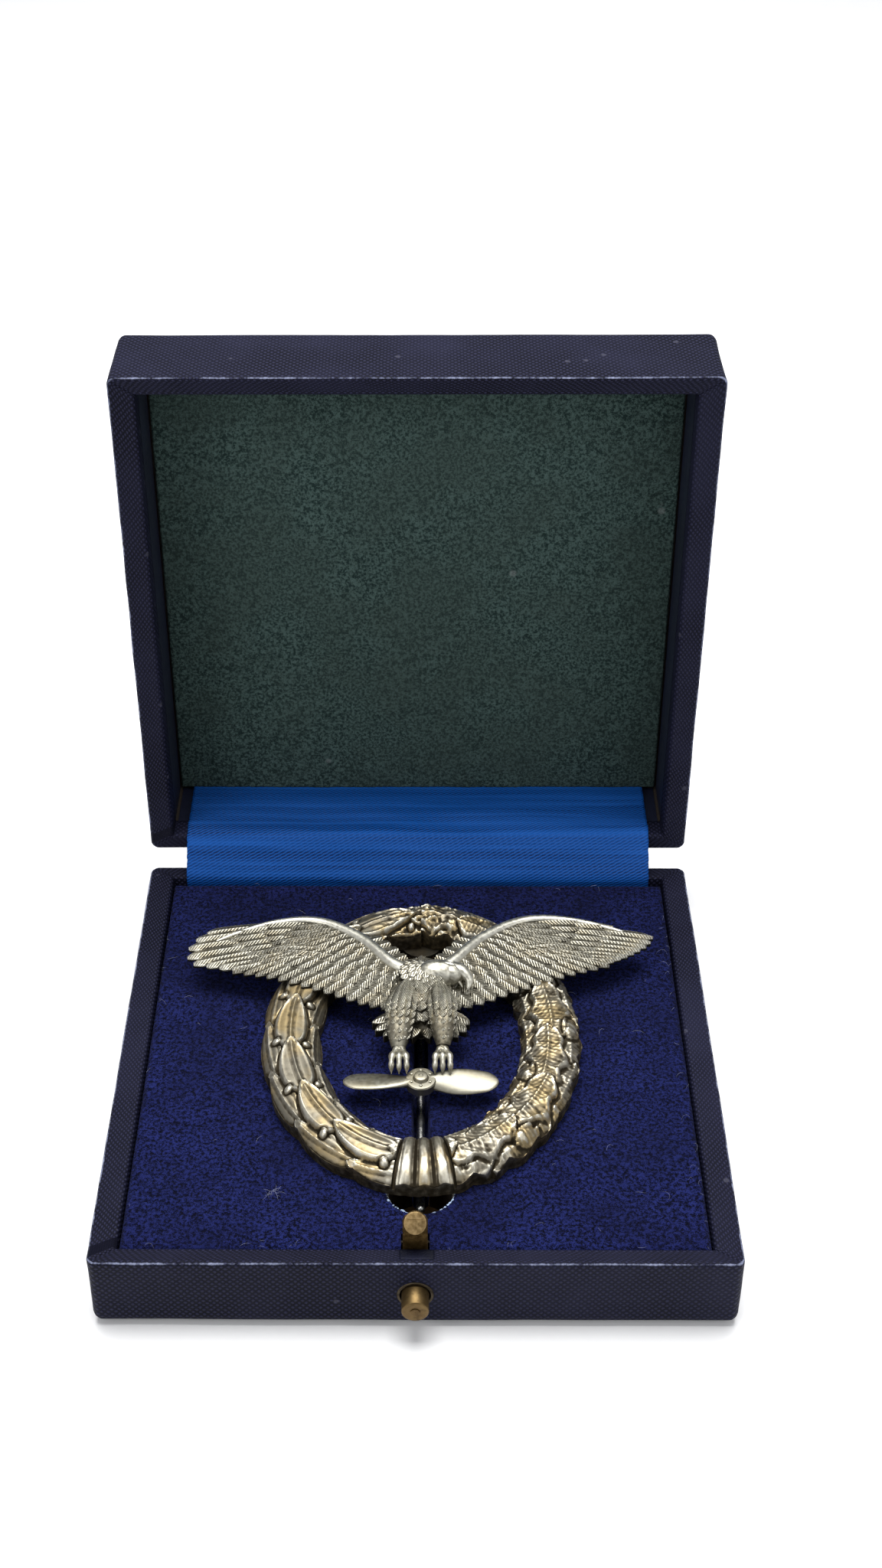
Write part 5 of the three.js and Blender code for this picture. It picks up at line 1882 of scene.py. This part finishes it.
    def fingers(self) -> None:
        """The long flight feathers of the hand in three layers; the lowest part at the wing tip."""
        right = [(31.9, 15.4), (31.3, 14.1), (30.0, 13.1), (28.2, 12.1), (26.2, 11.3)]
        left = [
            (29.6, 18.6), (31.2, 17.2), (31.9, 15.6), (31.9, 14.0), (31.3, 12.7), (28.6, 11.8), (25.6, 11.0)
        ]
        second = [(26.5, 17.9), (26.4, 16.4), (25.4, 14.9), (23.8, 13.4), (21.6, 12.2)]
        third = [(22.6, 19.0), (22.4, 17.6), (21.4, 16.0), (19.8, 14.6), (18.2, 13.6)]
        layers = (
            ((1,), right, 8, 1.5, 0.62, 0.0, 0.8),
            ((-1,), left, 8, 1.6, 0.62, 0.0, 0.9),
            ((1, -1), second, 7, 1.55, 0.86, 0.3, 0.7),
            ((1, -1), third, 6, 1.6, 1.08, 0.4, 0.7),
        )
        wrist = [(13.2, 19.2), (12.8, 17.4), (12.2, 15.6), (11.6, 13.8), (11.0, 12.2)]
        for sides, tips, count, width, top, foot, blunt in layers:
            tip, root = smooth_line(tips, count), smooth_line(wrist, count)
            self.add_feathers(
                sides, root=root, tip=tip, width=np.full(count, width),
                top=self.low + top - 0.02 * np.arange(count),
                foot=np.full(count, self.low + foot), bend=np.full(count, 0.03), rows=26, blunt=blunt,
            )

    def torso_height(self, x: Array, y: Array) -> Array:
        """Top of the breast over the underside: 3.2 times the root of 1 less the ellipse's share."""
        share = (x / 4.3) ** 2 + ((y - 3.9) / 6.1) ** 2
        return self.low + 3.1 * np.sqrt(np.clip(1 - share, 0, 1))

    def lump(self, centre: tuple, radii: tuple, relief: float, seed: int = 0, rough: float = 0.0) -> None:
        """An ellipsoid, roughened by a ripple.

        Args:
            centre: its middle.
            radii: its half sizes.
            relief: the relief kept on it.
            seed: seed of the ripple.
            rough: height of the ripple.
        """
        turn = np.linspace(0, 2 * np.pi, 40, endpoint=False)[None, :]
        polar = np.linspace(0.02, np.pi - 0.02, 26)[:, None]
        unit = np.stack(
            [np.sin(polar) * np.cos(turn), np.sin(polar) * np.sin(turn), np.cos(polar) + 0 * turn], -1
        )
        grid = unit * (np.array(radii) * (1 + rough * ripple(unit, 0.5, seed, 3))[..., None]) + centre
        shade = relief + (0.6 if rough > 0.02 else 0.12) * ripple(unit, 0.35, seed + 5, 2)
        self.shape.add_closed(grid + self.origin, relief=np.clip(shade, -1, 1))

    def plumage(
        self,
        x: Array,
        y: Array,
        angle: Array,
        length: float,
        width: float,
        height: Array,
        shine: float = 0.0,
    ) -> None:
        """Small body feathers that lie on a surface.

        Args:
            x: x of the tips.
            y: y of the tips.
            angle: directions in degrees.
            length: their length.
            width: their width.
            height: height of the surface under each.
            shine: added to the relief that is kept.
        """
        turn = np.radians(angle)
        tip = np.stack([x, y], 1)
        root = tip - length * np.stack([np.cos(turn), np.sin(turn)], 1)
        n = len(x)
        self.add_feathers(
            (1,), root=root, tip=tip, width=np.full(n, width), top=height + 0.05, foot=height - 0.8,
            bend=np.zeros(n), tilt=0.05, shine=shine,
        )

    def body(self) -> None:
        """Breast, head, thighs, feet and tail."""
        low = self.low
        turn = np.radians(np.array([-150, -139, -128, -112, -100, -80, -68, -52, -41, -30]))
        heart = np.array([0.0, 3.4])
        reach = np.array([7.4, 7.9, 7.9, 7.2, 6.6, 6.6, 7.2, 7.9, 7.9, 7.4])
        tail = heart + reach[:, None] * np.stack([np.cos(turn), np.sin(turn)], 1)
        self.add_feathers(
            (1,), root=np.tile(heart, (10, 1)), tip=tail, width=np.full(10, 2.0), top=np.full(10, low + 0.5),
            foot=np.full(10, low - 0.6), bend=np.zeros(10),
        )
        self.lump((0, 3.9, low), (4.2, 5.9, 2.9), -0.35, 1, 0.03)
        for row in range(8):
            y = 7.4 - row * 1.25
            half = 4.2 * math.sqrt(max(0.12, 1 - ((y - 3.6) / 6.6) ** 2))
            x = np.linspace(-half, half, 5 + (row % 2)) * 0.92
            yy = y - 0.35 * np.abs(x) / 3
            height = self.torso_height(x * 0.97, yy + 0.5)
            self.plumage(x, yy, -90 + 10 * x, 3.4, 1.9, np.maximum(height, low + 0.8), 0.1)
        self.thigh(-1, (-1.9, 3.6), (-2.9, -5.2), 1.9)
        self.thigh(1, (2.1, 3.2), (2.9, -4.8), 1.8)
        self.head()
        for side in (-1, 1):
            self.foot(side * 2.8)

    def thigh(self, side: int, hip: tuple, ankle: tuple, half: float) -> None:
        """A feathered leg: a drop-shaped core under long feathers that fan out from its middle.

        Args:
            side: -1 for the left leg and 1 for the right.
            hip: (x, y) of its upper end.
            ankle: (x, y) of its lower end.
            half: half width at its widest.
        """
        middle = ((hip[0] + ankle[0]) / 2 + 0.3 * side, (hip[1] + ankle[1]) / 2)
        line = smooth_line([(*hip, self.low + 1.4), (*middle, self.low + 2.1), (*ankle, self.low + 0.7)], 24)
        s = np.linspace(0, 1, 24)
        taper = np.clip(np.sin(np.pi * (0.22 + 0.62 * s)), 0.3, 1)
        self.shape.add_closed(
            swept(line, half * taper, 1.5 * taper) + self.origin, relief=-0.1
        )
        for k in range(9):
            share = (k + 1.2) / 9.4
            at = np.array([np.interp(share, s, line[:, n]) for n in range(3)])
            wide = np.interp(share, s, half * taper)
            spread = np.linspace(-1, 1, 5)
            x = at[0] + spread * wide * 0.92
            y = np.full(5, at[1]) + 0.5 * np.abs(spread)
            rise = 1.5 * np.interp(share, s, taper) * np.sqrt(1 - 0.75 * spread**2) + 0.22
            self.plumage(x, y, -92 + side * 5 + 26 * spread * (1 - share), 3.0, 1.15, at[2] + rise, 0.4)

    def head(self) -> None:
        """Head bowed to the right: smooth crown, hooked beak, brow, eye and neck feathers."""
        low = self.low
        self.lump((-0.2, 6.6, low + 1.2), (3.2, 2.5, 2.2), -0.25, 8, 0.03)
        for reach, count in ((5.0, 9), (4.0, 8), (3.0, 7)):
            turn = np.radians(np.linspace(128, 262, count) + 4 * reach)
            x = 2.0 + reach * np.cos(turn)
            y = 7.2 + reach * np.sin(turn) * 0.8
            share = ((x - 0.7) / 5.0) ** 2 + ((y - 6.8) / 4.6) ** 2
            height = low + 1.5 + 2.0 * np.sqrt(np.clip(1 - share, 0, 1))
            self.plumage(x, y, np.degrees(turn), 2.4, 1.4, height, 0.25)
        self.lump((2.2, 7.2, low + 2.5), (3.0, 1.95, 1.95), 0.6, 7, 0.012)
        self.lump((4.0, 7.0, low + 2.6), (1.75, 1.45, 1.55), 0.6, 9, 0.01)
        beak = smooth_line(
            [(4.2, 7.5, low + 3.1), (5.5, 7.1, low + 3.1), (6.4, 6.0, low + 2.5), (6.2, 4.7, low + 1.9)], 22
        )
        taper = np.linspace(1, 0, 22) ** 0.6
        self.shape.add_closed(
            swept(beak, 1.1 * taper + 0.05, 0.95 * taper + 0.05) + self.origin,
            relief=0.65,
        )
        jaw = smooth_line([(4.0, 6.4, low + 2.3), (5.0, 6.0, low + 2.2), (5.5, 5.3, low + 1.8)], 12)
        taper = np.linspace(1, 0.2, 12)
        self.shape.add_closed(
            swept(jaw, 0.5 * taper, 0.45 * taper) + self.origin, relief=0.3
        )
        self.lump((4.0, 6.75, low + 3.62), (0.34, 0.28, 0.3), -0.7)
        brow = smooth_line([(2.6, 7.4, low + 4.1), (3.8, 7.5, low + 4.0), (5.0, 7.0, low + 3.6)], 14)
        self.shape.add_closed(
            swept(brow, np.full(14, 0.3), np.full(14, 0.26)) + self.origin,
            relief=0.9,
        )

    def foot(self, x: float) -> None:
        """Three toes and a spur that grip the propeller blade."""
        low = self.low
        self.lump((x, -5.7, low + 0.6), (0.85, 1.0, 0.8), 0.2, 17, 0.05)
        for spread in (-0.85, 0.0, 0.85):
            toe = smooth_line(
                [(x + spread * 0.4, -5.6, low + 0.9), (x + spread, -7.0, low + 1.15),
                 (x + spread * 1.15, -8.1, low + 0.75),
                 (x + spread * 1.15, -8.9, low - 0.35)], 20,
            )
            knuckle = 0.42 + 0.08 * np.cos(np.linspace(0, 5 * np.pi, 20))
            taper = np.concatenate([np.ones(13), np.linspace(1, 0.12, 7)])
            self.shape.add_closed(
                swept(toe, knuckle * taper, knuckle * taper, 12) + self.origin,
                relief=0.55,
            )

    def build(self) -> bpy.types.Object:
        """Builds the bird."""
        self.wings()
        self.body()
        return self.shape.build(BIRD_SILVER, "badge", ("bird",))


@dataclass
class Propeller:
    """A two-blade propeller with a bolted hub."""

    origin: Array
    middle: tuple[float, float] = (0.0, -9.4)
    length: float = 20.0
    level: float = 2.7

    def blade(self) -> Array:
        """One blade: a lens section carried outwards, twisted and rounded at its tip.

        Formula: at a share s of the blade the half chord is 0.9 + 1.15 sin(pi s^0.8), closed by a
        root at the tip; the section is turned by 30 degrees at the hub and 10 at the tip.
        """
        s = np.concatenate([np.linspace(0, 0.9, 22), [0.94, 0.97, 0.988, 0.997, 1.0]])[:, None]
        turn = np.linspace(0, 2 * np.pi, 28, endpoint=False)[None, :]
        closing = np.sqrt(np.clip(1 - (np.clip(s - 0.82, 0, 1) / 0.181) ** 2, 0.002, 1))
        chord = (0.75 + 1.15 * np.sin(np.pi * s**0.8 * 0.86)) * closing
        thick = (0.62 - 0.36 * s) * np.sqrt(closing)
        twist = np.radians(24 - 18 * s)
        a, b = chord * np.cos(turn), thick * np.sin(turn)
        x = 1.0 + s * (self.length / 2 - 1.0) + 0 * turn
        return np.stack(
            [x, a * np.cos(twist) - b * np.sin(twist), a * np.sin(twist) + b * np.cos(twist)], -1
        )

    def build(self) -> None:
        """Builds both blades and the hub with its ring of bolts."""
        centre = np.array([*self.middle, self.level]) + self.origin
        shape = Shape("silver_propeller")
        blade = self.blade()
        shine = np.clip(0.45 + 0.2 * ripple(blade, 3.0, 2, 2), -1, 1)
        for side in (1, -1):
            shape.add_closed(blade * (side, side, 1) + centre, relief=shine)
        hub = [(-0.7, 0.01), (-0.7, 1.9), (0.45, 2.0), (0.62, 1.88), (0.66, 1.7), (0.66, 1.05), (0.8, 0.98)]
        hub += [(1.12, 0.86), (1.2, 0.7), (1.2, 0.3), (1.12, 0.22), (1.12, 0.01)]
        dish = turned(hub, 64)[..., [0, 2, 1]] + centre
        shape.add_closed(dish, relief=0.3)
        for k in range(6):
            turn = math.radians(60 * k + 30)
            bolt = turned([(0.6, 0.01), (0.6, 0.22), (0.82, 0.2), (0.86, 0.01)], 6)[..., [0, 2, 1]]
            at = centre + (1.38 * math.cos(turn), 1.38 * math.sin(turn), 0)
            shape.add_closed(bolt + at, relief=0.5)
        shape.build(POLISHED_SILVER, "badge", ("propeller", "propeller_hub"))


@dataclass
class BackHardware:
    """The needle and what holds it behind the wreath."""

    radius: float = 0.55

    def build(self) -> None:
        """Builds the needle as turned wire with an eye, and rounds the soldered pieces."""
        low, high = box_mm("needle")
        x, z = (low[0] + high[0]) / 2, (low[2] + high[2]) / 2
        eye_y = high[1] - 1.15
        r = self.radius
        bend = np.linspace(0, np.pi / 2, 8)[1:]
        wire = [(low[1], 0.01), *zip(low[1] + r - r * np.cos(bend), r * np.sin(bend)), (eye_y - 0.7, r)]
        wire += [(eye_y - 0.6, r - 0.15), (eye_y - 0.6, 0.01)]
        shape = Shape("steel_needle")
        shape.add_closed(turned(wire, 32) + (x, 0, z))
        eye = [(-0.65, 0.55), (-0.65, 1.0), (-0.55, 1.13), (0.55, 1.13), (0.65, 1.0), (0.65, 0.55)]
        ring = turned(eye, 40)[..., [1, 0, 2]] + (x, eye_y, z)
        shape.add(ring, wrap=(True, True))
        shape.build(STEEL, "needle", ("needle",))
        # The hinge plate wears silver darkened as painted shade.
        softened_copy("hinge_plate", SHADE_DARK_SILVER, "badge", 0.08)
        for node in ("hinge_block", "catch_plate", "needle_catch"):
            softened_copy(node, BACK_SILVER, "badge", 0.08)


# ---------------------------------------------------------------- stage


@dataclass
class Stage:
    """Pale floor, soft lights and the camera."""

    eye: tuple[float, float, float] = (0.00137, -0.2022, 0.2025)
    pitch: float = 0.63740
    yaw: float = -0.009685
    roll: float = -0.005154
    lens: float = 48.0
    shift: tuple[float, float] = (0.0193, 0.0039)
    floor_z: float = -0.0002

    def camera(self) -> None:
        """The camera, turned from its pitch, yaw and roll."""
        data = bpy.data.cameras.new("camera")
        data.lens, data.sensor_width = self.lens, 36.0
        data.shift_x, data.shift_y = self.shift
        data.clip_start, data.clip_end = 0.01, 20.0
        cam = bpy.data.objects.new("camera", data)
        p, w, r = self.pitch, self.yaw, self.roll
        ahead = Vector((math.sin(w) * math.cos(p), math.cos(w) * math.cos(p), -math.sin(p)))
        right = Vector((math.cos(w), -math.sin(w), 0))
        up = right.cross(ahead)
        right, up = right * math.cos(r) + up * math.sin(r), -right * math.sin(r) + up * math.cos(r)
        cam.matrix_world = Matrix.Translation(self.eye) @ Matrix((right, up, -ahead)).transposed().to_4x4()
        bpy.context.scene.collection.objects.link(cam)
        bpy.context.scene.camera = cam

    def light(self, name: str, at: tuple, size: float, power: float, tone: tuple = (1, 1, 1)) -> None:
        """A square area light that looks at the case.

        Args:
            name: its name.
            at: its place, in metres.
            size: its side, in metres.
            power: its power, in watts.
            tone: its colour.
        """
        data = bpy.data.lights.new(name, "AREA")
        data.size, data.energy, data.color = size, power, tone
        lamp = bpy.data.objects.new(name, data)
        lamp.location = at
        lamp.rotation_euler = (Vector((0, 0.01, 0.03)) - Vector(at)).to_track_quat("-Z", "Y").to_euler()
        bpy.context.scene.collection.objects.link(lamp)

    def floor(self) -> None:
        """A plain pale floor with a faint tooth."""
        mesh = bpy.data.meshes.new("floor")
        half = 3.0
        corners = [(-half, -half), (half, -half), (half, half), (-half, half)]
        mesh.from_pydata([(*corner, self.floor_z) for corner in corners], [], [(0, 1, 2, 3)])
        floor = bpy.data.objects.new("floor", mesh)
        bpy.context.scene.collection.objects.link(floor)
        mesh.materials.append(Paper("pale_floor", "card", (0.86, 0.86, 0.86), 0.9, contrast=0.01).material())

    def build(self) -> None:
        """Builds the stage."""
        self.camera()
        self.floor()
        world = bpy.data.worlds.new("studio")
        world.use_nodes = True
        world.node_tree.nodes["Background"].inputs[0].default_value = (0.93, 0.95, 1.0, 1)
        world.node_tree.nodes["Background"].inputs[1].default_value = 0.42
        bpy.context.scene.world = world
        self.light("overhead", (0.0, 0.1, 0.62), 0.42, 6.6)
        self.light("front_left", (-0.5, -0.5, 0.5), 0.35, 1.6)
        self.light("front_right", (0.55, -0.4, 0.45), 0.3, 0.8)
        bpy.context.scene.view_settings.view_transform = "Standard"


def main() -> None:
    """Builds the stage, the case and the badge, in that order."""
    logging.basicConfig(level=logging.INFO, format="%(name)s %(message)s")
    Stage().build()
    case = CaseFurniture()
    case.build()
    low, high = box_mm("wreath")
    origin = np.array([(low[0] + high[0]) / 2, (low[1] + high[1]) / 2, low[2]])
    Wreath(origin).build()
    Bird(origin).build()
    Propeller(origin).build()
    BackHardware().build()
    case.dress_frame_nodes()


if __name__ == "__main__":
    main()
